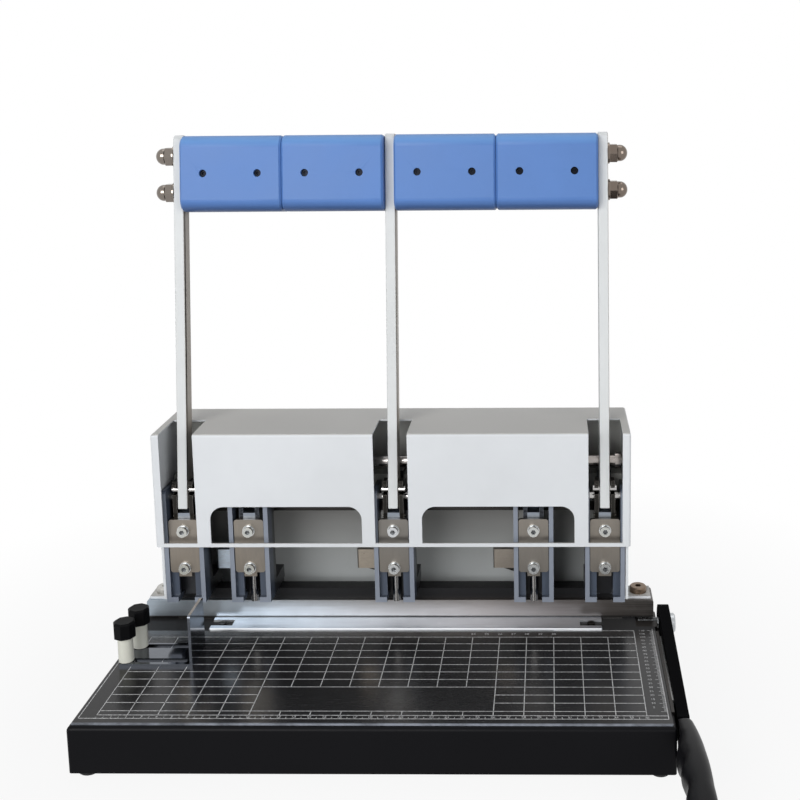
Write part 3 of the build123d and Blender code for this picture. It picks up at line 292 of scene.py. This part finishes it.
BLACK_COAT = enamel("black_coat", (0.004, 0.004, 0.005), 0.36, 0.5, 0.1, (0.05, 0.048, 0.046),
                    gloss=0.07)
INNER_BLACK = enamel("inner_black", (0.01, 0.01, 0.011), 0.45, 0.3, 0.1, gloss=0.2)
INNER_GREY = enamel("inner_grey", (0.3, 0.3, 0.28), 0.45, 0.3, 0.1, gloss=0.2)
# Upward faces are painted a darker grey: painted shade on the tops.
OFF_WHITE = enamel("off_white_enamel", (0.67, 0.69, 0.71), 0.4, 0.22, 0.05, gloss=0.2,
                   faces=[("Z", 0.5, 0.9, (0.52, 0.51, 0.485))])
# Faces that look right are painted brown-grey: painted shade on the arms' right sides.
ARM_WHITE = enamel("arm_enamel", (0.64, 0.655, 0.655), 0.4, 0.22, 0.06, gloss=0.2,
                   faces=[("X", 0.5, 0.9, (0.4, 0.36, 0.31))])
# The panel's forward faces carry painted light and shade by height: lighter low down, darker in the middle,
# light near the top.
GREY_SHEET = enamel("grey_sheet", (0.4, 0.395, 0.38), 0.45, 0.25, 0.1, gloss=0.25,
                    front_shade=(*SHEET_RISES, SHEET_SHADE_TONES))
# Front faces are painted a lighter blue as painted light; front faces set back from the cheeks' edges keep
# the dark blue as painted shade, and behind HEAD_INSIDE the heads are painted shadow black.
HEAD_BLUE = enamel("head_enamel", DARK_BLUE, 0.33, 0.3, 0.16, (0.3, 0.32, 0.36), 0.1, 0.35, 0.15,
                   faces=[("Y", -0.6, -0.9, (0.22, 0.245, 0.295))],
                   bands=[("Y", HEAD_FRONT, HEAD_FRONT + 0.001, DARK_BLUE),
                          ("Y", HEAD_INSIDE, HEAD_INSIDE + 0.004, SHADOW_BLACK)])
PLATE = metal("plate_steel", (0.25, 0.235, 0.215), 0.4, (260, 900, 60), 0.25, (0.3, 0.26, 0.215))
# Behind the bolt heads' fronts the sockets and sides are painted near-black as shade; behind the seats the
# washers are plain grey.
ZINC = metal("zinc", (0.74, 0.76, 0.78), 0.26, None, 0.15, (0.46, 0.46, 0.39), 0.2,
             bands=[("Y", BOLT_FACE + 0.0002, BOLT_FACE + 0.0008, (0.05, 0.052, 0.055)),
                    ("Y", BOLT_SEAT - 0.0004, BOLT_SEAT, (0.6, 0.61, 0.6))])
NUT = metal("nut_nickel", (0.25, 0.22, 0.195), 0.14, None, 0.1, (0.17, 0.13, 0.105), 0.15)
BRONZE = metal("yellow_zinc", (0.25, 0.19, 0.14), 0.36, None, 0.2, (0.16, 0.1, 0.065), 0.25,
               bands=[("X", 0.1, 0.05, (0.54, 0.54, 0.52))])
# Its colours along X are painted reflections, pale and bluish at the left end and dark at the right; its
# foot is painted black as the shadow under it.
BAR = metal("ground_bar", (0.4, 0.38, 0.365), 0.42, (12, 900, 1500), 0.18, None, 0.1,
            along=(*BAR_ENDS, BAR_REFLECTION_TONES),
            bands=[("Z", *BAR_GAP_SHADE, (0.02, 0.02, 0.02))])
# Its front faces are painted near white: a painted highlight.
STRIP = metal("cutting_strip_steel", (0.69, 0.755, 0.85), 0.36, (10, 1400, 1400), 0.2, None, 0.08,
              faces=[("Y", -0.3, -0.6, (0.95, 0.97, 1.0))])
POLISHED = metal("polished_steel", (0.48, 0.47, 0.46), 0.12, (900, 900, 30), 0.08, None, 0.12)
ROD = metal("rod_steel", (0.4, 0.38, 0.365), 0.18, (30, 900, 900), 0.15, (0.29, 0.23, 0.2), 0.2)
# Its front and top faces are painted dark as a painted reflection; its edges are darker too.
MIRROR = metal("mirror_steel", (0.34, 0.36, 0.4), 0.1, (30, 30, 900), 0.05, None, 0.1, edge_tone=0.3,
               faces=[("Y", -0.5, -0.9, (0.1, 0.11, 0.13)), ("Z", 0.3, 0.8, (0.14, 0.15, 0.17))])
DARK_STEEL = metal("dark_steel", (0.05, 0.047, 0.045), 0.4, (40, 700, 700), 0.3, (0.04, 0.033, 0.03), 0.2)
BLADE = metal("blade_steel", (0.3, 0.3, 0.3), 0.25, (700, 40, 700), 0.3, None, 0.2)
# Left of its head the bolt's shaft is painted black as shade.
PIVOT = metal("pivot_zinc", (0.48, 0.5, 0.52), 0.28, None, 0.15, (0.4, 0.4, 0.36), 0.2,
              bands=[("X", SHAFT_END, SHAFT_END - 0.0005, (0.02, 0.02, 0.02))])
BLACK_OXIDE = metal("black_oxide", (0.03, 0.029, 0.028), 0.38, None, 0.3, None, 0.3)
DEEP_BLACK = metal("deep_black", (0.008, 0.009, 0.012), 0.3, None, 0.3, None, 0.3)
FORK = metal("fork_steel", (0.035, 0.033, 0.03), 0.34, None, 0.3, None, 0.3, edge_tone=14)
RAM_STEEL = metal("ram_steel", RAM_GREY, 0.34, (300, 300, 900), 0.2)


def sliding_ram(name, centre):
    """Bright in its middle, with painted shadow black on the plates to both sides."""
    left, right = centre - STEM_HALF, centre + STEM_HALF
    edge = 0.0001
    return metal(name, RAM_GREY, 0.34, (300, 300, 900), 0.2,
                 bands=[("X", left + edge, left - edge, SHADOW_BLACK),
                        ("X", right - edge, right + edge, SHADOW_BLACK)])


RAM_LEFT_STEEL = sliding_ram("ram_left_steel", RAM_LEFT)
RAM_RIGHT_STEEL = sliding_ram("ram_right_steel", RAM_RIGHT)
# Below the lock blocks' underside the parts are painted near-black as shade.
NICKEL = metal("nickel", (0.38, 0.34, 0.3), 0.34, (300, 300, 900), 0.2, (0.44, 0.38, 0.3), 0.15,
               bands=[("X", LOCK_LEFT + 0.03, LOCK_LEFT, (0.5, 0.58, 0.66)),
                      ("Z", LOCK_LOW - 0.0005, LOCK_LOW - 0.001, (0.015, 0.015, 0.016))])
# Upward faces are painted lighter and downward faces darker: painted light and shade.
GRIP_BLUE = plastic("grip_blue", (0.081, 0.184, 0.455), 0.42, 1100.0, 0.3, 0.05, 0.3,
                    [("Z", 0.1, 0.6, (0.125, 0.27, 0.56)), ("Z", -0.1, -0.7, (0.05, 0.105, 0.26))])
RUBBER = plastic("foot_rubber", (0.012, 0.012, 0.012), 0.7, 700.0, 0.4, 0.2, 0.3)
NYLON = plastic("nylon", (0.6, 0.6, 0.53), 0.45, 800.0, 0.15, 0.06)
CAP_BLACK = plastic("cap_black", (0.003, 0.003, 0.0035), 0.42, 900.0, 0.4, 0.2, 0.06)
GRIP_BLACK = plastic("grip_black", (0.005, 0.005, 0.006), 0.36, 700.0, 0.25, 0.2, 0.14)
TRIMMER_BLACK = enamel("trimmer_black", (0.003, 0.003, 0.0035), 0.6, 0.3, 0.06, (0.03, 0.03, 0.03),
                       gloss=0.01)


def board_material():
    """Glossy black laminate under clear lacquer, with fine dust and hairline scratches."""
    n = Nodes("board_gloss")
    cloud = n.noise(7.0, 4.0, 0.6)
    dust = n.grey(n.noise(900.0, 2.0, 0.6), 0.0, 0.12, 0.6, 0.8)
    base = n.ramp(cloud, [(0.3, (0.004, 0.004, 0.005)), (0.7, (0.01, 0.0095, 0.01))])
    # Painted sheen: the board is painted lighter towards the right.
    base = n.mix(n.grey(n.place("X"), 0.0, 0.6, *BAR_ENDS), base, (0.04, 0.04, 0.041))
    base = n.mix(dust, base, (0.2, 0.2, 0.2))
    # A painted highlight along the board's front edge, broken up by noise.
    front_edge_highlight = n.grey(n.place("Y"), 1.0, 0.0, (4.3 + FRONT) * MM, (4.6 + FRONT) * MM)
    highlight_breaks = n.grey(n.noise(40.0, 4.0, 0.7), 0.35, 1.0, 0.35, 0.6)
    base = n.mix(n.math("MULTIPLY", front_edge_highlight, highlight_breaks), base, (0.24, 0.26, 0.3))
    hair = n.noise(1.0, 5.0, 0.8, n.scaled((90, 900, 90)))
    uneven = n.math("ADD", n.math("MULTIPLY", hair, 0.5), n.math("MULTIPLY", cloud, 0.5))
    gloss = n.grey(uneven, 0.16, 0.32, 0.3, 0.7)
    under = n.grey(n.place("Y"), 0.0, 0.5, (128.0 + FRONT) * MM, (128.6 + FRONT) * MM)
    rough = n.math("ADD", gloss, under)
    normal = n.bump(n.noise(26.0, 2.0, 0.5), 0.12, 0.0004)
    return n.shader(base, rough, 0.0, normal, IOR=1.33, Coat_Weight=0.05, Coat_Roughness=0.2)


BOARD_GLOSS = board_material()


def ink_material():
    """Screen-printed off-white ink, thin and slightly broken."""
    n = Nodes("board_ink")
    broken = n.noise(600.0, 3.0, 0.7)
    base = n.ramp(broken, [(0.35, (0.3, 0.3, 0.3)), (0.6, (0.7, 0.7, 0.7))])
    return n.shader(base, n.grey(broken, 0.3, 0.5), 0.0)


INK = ink_material()

FINISHES = {
    BLACK_COAT: ["base_shell"],
    INNER_BLACK: ["base_floor", "lower_rail"],
    INNER_GREY: ["upper_rail"],
    RUBBER: ["base_feet"],
    BOARD_GLOSS: ["grid_board"],
    BAR: ["stop_bar"],
    STRIP: ["cutting_strip"],
    DARK_STEEL: ["press_beam", "pivot_block", "return_springs", "counter_blade"],
    BLADE: ["trimmer_blade"],
    PIVOT: ["pivot_bolt"],
    BLACK_OXIDE: ["strip_screws"],
    DEEP_BLACK: ["grip_screws"],
    FORK: ["drive_forks"],
    RAM_STEEL: ["rams"],
    RAM_LEFT_STEEL: ["ram_inner_left"],
    RAM_RIGHT_STEEL: ["ram_inner_right"],
    OFF_WHITE: ["cover", "side_panel_left", "side_panel_right"],
    ARM_WHITE: ["arm_left", "arm_centre", "arm_right"],
    GREY_SHEET: ["rear_panel"],
    HEAD_BLUE: ["head_left", "head_centre", "head_right", "head_inner_left", "head_inner_right"],
    PLATE: ["front_plates", "plate_inner_left", "plate_inner_right"],
    ZINC: ["plate_bolts", "bolts_inner_left", "bolts_inner_right"],
    NUT: ["acorn_nuts"],
    BRONZE: ["housing_screws"],
    ROD: ["stop_rod"],
    POLISHED: ["crank_pins", "fulcrum_pins", "handle_rods", "punch_centre", "punch_inner_left",
               "punch_inner_right"],
    MIRROR: ["side_guide"],
    NICKEL: ["lock_left", "lock_centre", "lock_right"],
    GRIP_BLUE: ["grip_1", "grip_2", "grip_3", "grip_4"],
    NYLON: ["guide_collars"],
    CAP_BLACK: ["guide_cap_front", "guide_cap_rear"],
    GRIP_BLACK: ["trimmer_grip"],
    TRIMMER_BLACK: ["trimmer_arm"],
}
for material, names in FINISHES.items():
    for name in names:
        mesh = nodes[name].data
        mesh.materials.clear()
        mesh.materials.append(material)


def soften(name, width):
    """Rounds a CAD node's edges a little, as its paint or finishing would."""
    piece = nodes[name]
    weld = piece.modifiers.new("weld", "WELD")
    weld.merge_threshold = 0.00001
    bevel = piece.modifiers.new("edges", "BEVEL")
    bevel.width = width * MM
    bevel.segments = 2
    bevel.limit_method = "ANGLE"
    bevel.angle_limit = math.radians(40)
    bevel.harden_normals = True
    bevel.use_clamp_overlap = True


for name in ("arm_left", "arm_centre", "arm_right"):
    soften(name, 0.9)
for number in range(1, 5):
    soften(f"grip_{number}", 0.9)

# New pieces


def mesh_piece(name, bm, material, body, smooth=True):
    """A new object with its material, carried by one body."""
    mesh = bpy.data.meshes.new(name)
    bm.to_mesh(mesh)
    bm.free()
    mesh.materials.append(material)
    if smooth:
        mesh.shade_smooth()
    piece = bpy.data.objects.new(name, mesh)
    SCENE.collection.objects.link(piece)
    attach(piece, body)
    return piece


def flat_box(bm, x0, x1, y0, y1, z0, z1):
    """A thin printed bar between two corners, in machine millimetres."""
    corners = [at(x, y, z) for z in (z0, z1) for x, y in ((x0, y0), (x1, y0), (x1, y1), (x0, y1))]
    verts = [bm.verts.new(c) for c in corners]
    for a, b, c, d in ((3, 2, 1, 0), (4, 5, 6, 7), (0, 1, 5, 4), (1, 2, 6, 5), (2, 3, 7, 6), (3, 0, 4, 7)):
        bm.faces.new((verts[a], verts[b], verts[c], verts[d]))


AROUND = 32                      # facets of a turned form


def turned(bm, outline, spot, side):
    """A form turned about the X axis through spot.

    outline is (reach, radius) pairs in mm, away to one side, -1 or 1.
    """
    rings = []
    for reach, radius in outline:
        if radius == 0:
            rings.append([bm.verts.new(spot + Vector((side * reach * MM, 0, 0)))])
            continue
        ring = []
        for step in range(AROUND):
            angle = side * 2 * math.pi * step / AROUND
            offset = (side * reach, radius * math.cos(angle), radius * math.sin(angle))
            ring.append(bm.verts.new(spot + Vector(offset) * MM))
        rings.append(ring)
    for inner, outer in zip(rings, rings[1:]):
        for step in range(AROUND):
            after = (step + 1) % AROUND
            if len(outer) == 1:
                bm.faces.new((inner[step], inner[after], outer[0]))
            elif len(inner) == 1:
                bm.faces.new((inner[0], outer[after], outer[step]))
            else:
                bm.faces.new((inner[step], inner[after], outer[after], outer[step]))


NUT_FLATS = 13.0
NUT_WASHER = (7.9, 1.5)          # radius and thickness
NUT_HEX = 6.0
NUT_CORNER = 0.8
NUT_GAP = 0.05                   # keeps the washers clear of the arms
WASHER_EDGE = 0.3
DOME_RADIUS = 6.1
DOME_STRAIGHT = 1.6
DOME_STEPS = 8
ROD_RADIUS = 4.0


def hexagon(bm, spot, side, start, length, flats):
    """A hexagonal nut's body along X with bevelled corners on its outer face."""
    rings = []
    radius = flats / math.sqrt(3)
    end = start + length
    for reach, size in ((start, radius), (end - NUT_CORNER, radius), (end, radius - NUT_CORNER * 1.3)):
        ring = []
        for step in range(6):
            angle = side * math.radians(60 * step)
            offset = (side * reach, size * math.cos(angle), size * math.sin(angle))
            ring.append(bm.verts.new(spot + Vector(offset) * MM))
        rings.append(ring)
    bm.faces.new(rings[0][::-1])
    bm.faces.new(rings[-1])
    for inner, outer in zip(rings, rings[1:]):
        for step in range(6):
            after = (step + 1) % 6
            bm.faces.new((inner[step], inner[after], outer[after], outer[step]))


def acorn_nuts():
    """Washers, hexagons and round domes on both rods' ends."""
    low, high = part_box("handle_rods")
    left_face, right_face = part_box("arm_left")[0][0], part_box("arm_right")[1][0]
    inset = ROD_RADIUS * MM
    spots = [(low[1] + inset, low[2] + inset), (high[1] - inset, high[2] - inset)]
    washer, thickness = NUT_WASHER
    dome_length = (left_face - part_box("acorn_nuts")[0][0]) / MM - thickness - NUT_HEX - NUT_GAP
    dome = [(0, 0), (0, DOME_RADIUS), (DOME_STRAIGHT, DOME_RADIUS)]
    for step in range(1, DOME_STEPS + 1):
        angle = math.radians(90 * step / DOME_STEPS)
        reach = DOME_STRAIGHT + (dome_length - DOME_STRAIGHT) * math.sin(angle)
        dome.append((reach, DOME_RADIUS * math.cos(angle) if step < DOME_STEPS else 0))
    bm = bmesh.new()
    for side, face in ((-1, left_face), (1, right_face)):
        for y, z in spots:
            spot = Vector((face, y, z))
            turned(bm, [(NUT_GAP, 0), (NUT_GAP, washer), (thickness - WASHER_EDGE, washer),
                        (thickness, washer - WASHER_EDGE), (thickness, 0)], spot, side)
            hexagon(bm, spot, side, thickness, NUT_HEX, NUT_FLATS)
            turned(bm, dome, spot + Vector((side * (thickness + NUT_HEX) * MM, 0, 0)), side)
    bmesh.ops.recalc_face_normals(bm, faces=bm.faces)
    piece = mesh_piece("dome_nuts", bm, NUT, "lever")
    piece.data.set_sharp_from_angle(angle=math.radians(35))
    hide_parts("acorn_nuts")


acorn_nuts()

SPRING_RADIUS = 2.55
SPRING_WIRE = 0.42
SPRING_TURNS = 11
SPRING_STEPS = 20
WIRE_CORNERS = 6


def return_coils():
    """A coil behind each fixed ram."""
    low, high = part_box("return_springs")
    middle_y = (low[1] + high[1]) / 2
    reach = SPRING_RADIUS + SPRING_WIRE
    centres = [low[0] + reach * MM, (low[0] + high[0]) / 2, high[0] - reach * MM]
    length = high[2] - low[2] - 2 * SPRING_WIRE * MM
    steps = SPRING_TURNS * SPRING_STEPS
    bm = bmesh.new()
    for centre_x in centres:
        before = None
        for step in range(steps + 1):
            turn = 2 * math.pi * step / SPRING_STEPS
            outward = Vector((math.cos(turn), math.sin(turn), 0))
            height = low[2] + SPRING_WIRE * MM + length * step / steps
            spot = Vector((centre_x, middle_y, height)) + outward * SPRING_RADIUS * MM
            ring = []
            for corner in range(WIRE_CORNERS):
                angle = 2 * math.pi * corner / WIRE_CORNERS
                offset = outward * math.cos(angle) + Vector((0, 0, math.sin(angle)))
                ring.append(bm.verts.new(spot + offset * SPRING_WIRE * MM))
            if before:
                for corner in range(WIRE_CORNERS):
                    after = (corner + 1) % WIRE_CORNERS
                    bm.faces.new((before[corner], ring[corner], ring[after], before[after]))
            else:
                bm.faces.new(ring)
            before = ring
        bm.faces.new(before[::-1])
    bmesh.ops.recalc_face_normals(bm, faces=bm.faces)
    piece = mesh_piece("return_coils", bm, DARK_STEEL, "base")
    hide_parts("return_springs")
    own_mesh(piece)


return_coils()

# The trimmer's grip, along the arm from the base's front edge and in rises above the board
GRIP_BACK, GRIP_NOSE, GRIP_TIP = 15.5, -90.0, -96.8
GRIP_UPPER = ((16.0, -1.0), (-37.0, 2.4), (-90.0, -3.6))
GRIP_LOWER = ((-90.0, -20.0), (-72.0, -15.0), (-54.0, -20.5), (-37.0, -17.0), (-20.0, -25.0), (-2.0, -24.5),
              (16.0, -20.0))
GRIP_STATIONS = 64
GRIP_AROUND = 36
GRIP_SQUARE = 2.5                # 2 would be an ellipse
GRIP_HALF_WIDTH = 9.4
GRIP_ROUND = 5.0                 # how far its back end rounds off
GRIP_WALL = 1.8                  # outside the arm, where the grip narrows towards it
TAPER_START, TAPER_LENGTH = -24.0, 40.0
GRIP_STEP = -4.0                 # behind this it stays clear of the base's side
FINGER_PITCH = 24.0
FINGER_DEPTH = 2.2
BASE_SIDE = 198.7


def through(points, x):
    """The parabola through three points, at x."""
    total = 0.0
    for i, (xi, yi) in enumerate(points):
        share = 1.0
        for j, (xj, _) in enumerate(points):
            if j != i:
                share *= (x - xj) / (xi - xj)
        total += yi * share
    return total


def grip_section(y):
    """The grip's middle, half height and half width at one place, rounded off at both ends."""
    place = max(y, GRIP_NOSE)
    upper = through(GRIP_UPPER, place)
    first = next(i for i in (0, 2, 4) if place <= GRIP_LOWER[i + 2][0])
    lower = through(GRIP_LOWER[first:first + 3], place)
    ease = 1.0
    if y < GRIP_NOSE:
        ease = math.sqrt(max(0.0, 1 - ((GRIP_NOSE - y) / (GRIP_NOSE - GRIP_TIP)) ** 2))
    elif y > GRIP_BACK - GRIP_ROUND:
        ease = 0.55 + 0.45 * math.sqrt(max(0.0, 1 - ((y - GRIP_BACK + GRIP_ROUND) / GRIP_ROUND) ** 2))
    ease = max(ease, 0.02)
    width = GRIP_HALF_WIDTH * (ease if y < GRIP_NOSE else 1.0)
    return (upper + lower) / 2, (upper - lower) / 2 * ease, width


def trimmer_grip():
    """The moulded grip: rounded sections that follow its finger hollows, swelling towards the nose."""
    low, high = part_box("trimmer_grip")
    centre = (low[0] + high[0]) / 2 / MM - MIDDLE
    tang_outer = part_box("trimmer_arm")[1][0] / MM - MIDDLE
    bm = bmesh.new()
    rings = []
    for station in range(GRIP_STATIONS + 1):
        share = station / GRIP_STATIONS
        y = GRIP_TIP + (GRIP_BACK - GRIP_TIP) * (0.5 - 0.5 * math.cos(math.pi * share))
        middle, half, width = grip_section(y)
        taper = min(1.0, max(0.0, (y - TAPER_START) / TAPER_LENGTH)) ** 2
        outer = width + (tang_outer + GRIP_WALL - centre - width) * taper
        inner_limit = BASE_SIDE if y > GRIP_STEP else centre - width
        hollow = 0.0
        if GRIP_NOSE < y < GRIP_STEP:
            hollow = FINGER_DEPTH * (0.5 - 0.5 * math.cos(2 * math.pi * (y - GRIP_NOSE) / FINGER_PITCH))
        inner = width - hollow
        ring = []
        for step in range(GRIP_AROUND):
            angle = 2 * math.pi * step / GRIP_AROUND
            across, up = math.cos(angle), math.sin(angle)
            across = math.copysign(abs(across) ** (2 / GRIP_SQUARE), across)
            up = math.copysign(abs(up) ** (2 / GRIP_SQUARE), up)
            x = centre + across * (outer if across > 0 else inner)
            ring.append(bm.verts.new(at(max(x, inner_limit), y, middle + half * up)))
        rings.append(ring)
    for inner, outer in zip(rings, rings[1:]):
        for step in range(GRIP_AROUND):
            after = (step + 1) % GRIP_AROUND
            bm.faces.new((inner[step], outer[step], outer[after], inner[after]))
    bm.faces.new(rings[0])
    bm.faces.new(rings[-1][::-1])
    bmesh.ops.recalc_face_normals(bm, faces=bm.faces)
    piece = mesh_piece("finger_grip", bm, GRIP_BLACK, "trimmer")
    piece.data.set_sharp_from_angle(angle=math.radians(50))
    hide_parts("trimmer_grip")


trimmer_grip()

# The board's print, in mm from the middle and from the base's front edge
INK_TOP = 0.04
LINE_HALF = 0.28
GRID_LEFT = -181.5
COLUMNS, COLUMN = 18, 20.0
ROWS, ROW = 10, 10.0
FIRST_ROW = 18.4
INNER_LINE = 13.4
FRONT_LINE = 9.4
FRAME_X = 192.4
FRAME_BACK = 131.0
TITLE = (5, 13, 3)               # the bare field: its left and right column line and its rows
FINE_HALF = 0.12
TICK_HALF = 0.15


def printed_lines():
    """The grid, the frame round it and the ticks of both rulers, in one mesh."""
    bm = bmesh.new()

    def across(x0, x1, y, half=LINE_HALF):
        flat_box(bm, x0, x1, y - half, y + half, 0, INK_TOP)

    def along(x, y0, y1, half=LINE_HALF):
        flat_box(bm, x - half, x + half, y0, y1, 0, INK_TOP)

    last = GRID_LEFT + COLUMNS * COLUMN
    for x in (-FRAME_X, FRAME_X):
        along(x, FRONT_LINE, FRAME_BACK)
    across(-FRAME_X, FRAME_X, FRONT_LINE)
    across(GRID_LEFT, FRAME_X, INNER_LINE)
    title_left, title_right, title_rows = TITLE
    for i in range(COLUMNS + 1):
        x = GRID_LEFT + i * COLUMN
        top = FIRST_ROW + (ROWS + (i == COLUMNS)) * ROW
        if title_left < i < title_right:
            along(x, INNER_LINE, FIRST_ROW)
            along(x, FIRST_ROW + title_rows * ROW, top)
        else:
            along(x, INNER_LINE, top)
    for j in range(ROWS + 1):
        y = FIRST_ROW + j * ROW
        if 0 < j < title_rows:
            across(GRID_LEFT, GRID_LEFT + title_left * COLUMN, y)
            across(GRID_LEFT + title_right * COLUMN, last, y)
        else:
            across(GRID_LEFT, last, y)
    across(last - 3 * COLUMN, last, FIRST_ROW + (ROWS + 1) * ROW)
    for tick in range(0, 361, 5):
        x = GRID_LEFT + tick
        along(x, FRONT_LINE, FRONT_LINE + (2.2 if tick % 10 else 1.4), TICK_HALF)
    for tick in range(0, 111):
        y = FIRST_ROW + tick
        reach = 4.2 if tick % 10 == 0 else 3.2 if tick % 5 == 0 else 2.0
        across(FRAME_X - reach, FRAME_X, y, FINE_HALF)
    mesh_piece("board_lines", bm, INK, "base", smooth=False)


printed_lines()


def printed_numbers():
    """Plain numbers of the front and right rulers and of the row behind the grid, in one mesh."""
    labels = [(str(n), GRID_LEFT + 10.0 * n, 11.4, 2.3) for n in range(1, 37)]
    labels += [(str(5 * n), 184.2, FIRST_ROW + 5.0 * n, 2.2) for n in range(1, 23)]
    labels += [(str(n), GRID_LEFT + 10.0 * n, 123.0, 2.6) for n in range(24, 31)]
    bm = bmesh.new()
    for text, x, y, size in labels:
        curve = bpy.data.curves.new("digits", "FONT")
        curve.body = text
        curve.size = size * 1.35 * MM
        curve.align_x = "CENTER"
        curve.align_y = "CENTER"
        holder = bpy.data.objects.new("digits", curve)
        SCENE.collection.objects.link(holder)
        bpy.context.view_layer.update()
        depsgraph = bpy.context.evaluated_depsgraph_get()
        digits = bpy.data.meshes.new_from_object(holder.evaluated_get(depsgraph))
        digits.transform(Matrix.Translation(at(x, y, INK_TOP)))
        bm.from_mesh(digits)
        bpy.data.objects.remove(holder)
        bpy.data.curves.remove(curve)
        bpy.data.meshes.remove(digits)
    mesh_piece("board_numbers", bm, INK, "base", smooth=False)


printed_numbers()

# Stage


FLOOR_REACH = 6.0                # metres each way
FLOOR_FADE = (0.25, 0.5)         # metres from the base's middle: outside, the floor is white as seen


def stage_floor():
    """A pale floor that keeps the object's shadow and shows white further out."""
    bm = bmesh.new()
    size = FLOOR_REACH
    for x, y in ((-size, -size), (size, -size), (size, size), (-size, size)):
        bm.verts.new((x, y, 0))
    bm.faces.new(bm.verts)
    mesh = bpy.data.meshes.new("floor")
    bm.to_mesh(mesh)
    bm.free()
    floor = bpy.data.objects.new("floor", mesh)
    SCENE.collection.objects.link(floor)
    n = Nodes("floor_white")
    diffuse = n.add("ShaderNodeBsdfDiffuse")
    diffuse.inputs["Color"].default_value = (0.6, 0.6, 0.6, 1)
    white = n.add("ShaderNodeEmission")
    rays = n.add("ShaderNodeLightPath")
    away = n.add("ShaderNodeVectorMath", operation="DISTANCE")
    n.link(n.coords, away.inputs[0])
    away.inputs[1].default_value = at(0, INWARD, -BOARD)
    share = n.grey(away.outputs["Value"], 0.9, 1.0, *FLOOR_FADE)
    mixed = n.add("ShaderNodeMixShader")
    straight = n.math("MAXIMUM", rays.outputs["Is Camera Ray"], rays.outputs["Is Glossy Ray"])
    straight = n.math("MAXIMUM", straight, rays.outputs["Is Transmission Ray"])
    n.link(n.math("MULTIPLY", straight, share), mixed.inputs["Fac"])
    n.link(diffuse.outputs["BSDF"], mixed.inputs[1])
    n.link(white.outputs["Emission"], mixed.inputs[2])
    n.link(mixed.outputs["Shader"], n.output.inputs["Surface"])
    mesh.materials.append(n.material)


stage_floor()


def studio_world():
    """White where it is seen or mirrored, and a soft grey sky where it lights the object."""
    world = bpy.data.worlds.new("studio")
    SCENE.world = world
    world.use_nodes = True
    tree = world.node_tree
    tree.nodes.clear()
    output = tree.nodes.new("ShaderNodeOutputWorld")
    lit = tree.nodes.new("ShaderNodeBackground")
    seen = tree.nodes.new("ShaderNodeBackground")
    mixed = tree.nodes.new("ShaderNodeMixShader")
    rays = tree.nodes.new("ShaderNodeLightPath")
    coords = tree.nodes.new("ShaderNodeTexCoord")
    split = tree.nodes.new("ShaderNodeSeparateXYZ")
    ramp = tree.nodes.new("ShaderNodeValToRGB")
    ramp.color_ramp.elements[0].position = 0.0
    ramp.color_ramp.elements[0].color = (0.62, 0.63, 0.65, 1)
    ramp.color_ramp.elements[1].position = 0.6
    ramp.color_ramp.elements[1].color = (0.3, 0.31, 0.33, 1)
    tree.links.new(coords.outputs["Generated"], split.inputs[0])
    tree.links.new(split.outputs["Z"], ramp.inputs["Fac"])
    tree.links.new(ramp.outputs["Color"], lit.inputs["Color"])
    lit.inputs["Strength"].default_value = 0.62
    seen.inputs["Color"].default_value = (1, 1, 1, 1)
    seen.inputs["Strength"].default_value = 1.0
    straight = rays.outputs["Is Camera Ray"]
    for kind in ("Is Glossy Ray", "Is Transmission Ray"):
        either = tree.nodes.new("ShaderNodeMath")
        either.operation = "MAXIMUM"
        tree.links.new(straight, either.inputs[0])
        tree.links.new(rays.outputs[kind], either.inputs[1])
        straight = either.outputs[0]
    tree.links.new(straight, mixed.inputs["Fac"])
    tree.links.new(lit.outputs["Background"], mixed.inputs[1])
    tree.links.new(seen.outputs["Background"], mixed.inputs[2])
    tree.links.new(mixed.outputs["Shader"], output.inputs["Surface"])


studio_world()


def softbox(name, place, aim, size, power):
    """A rectangular lamp; both points are metres from the middle of the base."""
    middle = at(0, INWARD, -BOARD)
    light = bpy.data.lights.new(name, "AREA")
    light.shape = "RECTANGLE"
    light.size, light.size_y = size
    light.energy = power
    lamp = bpy.data.objects.new(name, light)
    lamp.location = Vector(place) + middle
    lamp.rotation_euler = (Vector(aim) - Vector(place)).to_track_quat("-Z", "Y").to_euler()
    SCENE.collection.objects.link(lamp)


softbox("key", (-0.8, -1.9, 1.0), (0, 0, 0.15), (1.4, 1.1), 36)
softbox("fill", (1.4, -1.6, 0.7), (0, 0, 0.15), (1.2, 1.2), 13)
softbox("top", (0.0, 0.5, 1.9), (0, 0, 0.1), (1.6, 1.0), 5.5)

# Camera, fitted to the printed grid in the photograph
IMAGE = 800.0                    # the photograph's side in pixels, which the next two lines are in
FOCAL = 1138.53
CENTRE_X, CENTRE_Y = 526.03, 250.0
SENSOR = 36.0
PLACE = (117.0, -673.4, 411.1)
YAW, PITCH, ROLL = (math.radians(a) for a in (-1.176, 8.652, 0.55))
forward = Vector((math.sin(YAW) * math.cos(PITCH), math.cos(YAW) * math.cos(PITCH), -math.sin(PITCH)))
right = Vector((math.cos(YAW), -math.sin(YAW), 0))
down = forward.cross(right)
rolled_right = math.cos(ROLL) * right + math.sin(ROLL) * down
rolled_down = -math.sin(ROLL) * right + math.cos(ROLL) * down
camera = bpy.data.cameras.new("camera")
camera.sensor_width = SENSOR
camera.lens = FOCAL / IMAGE * SENSOR
camera.shift_x = (IMAGE / 2 - CENTRE_X) / IMAGE
camera.shift_y = (CENTRE_Y - IMAGE / 2) / IMAGE
camera.clip_start = 0.05
camera.clip_end = 50
viewer = bpy.data.objects.new("camera", camera)
rotation = Matrix((rolled_right, -rolled_down, -forward)).transposed()
viewer.matrix_world = Matrix.Translation(at(*PLACE)) @ rotation.to_4x4()
SCENE.collection.objects.link(viewer)
SCENE.camera = viewer
SCENE.view_settings.view_transform = "Standard"
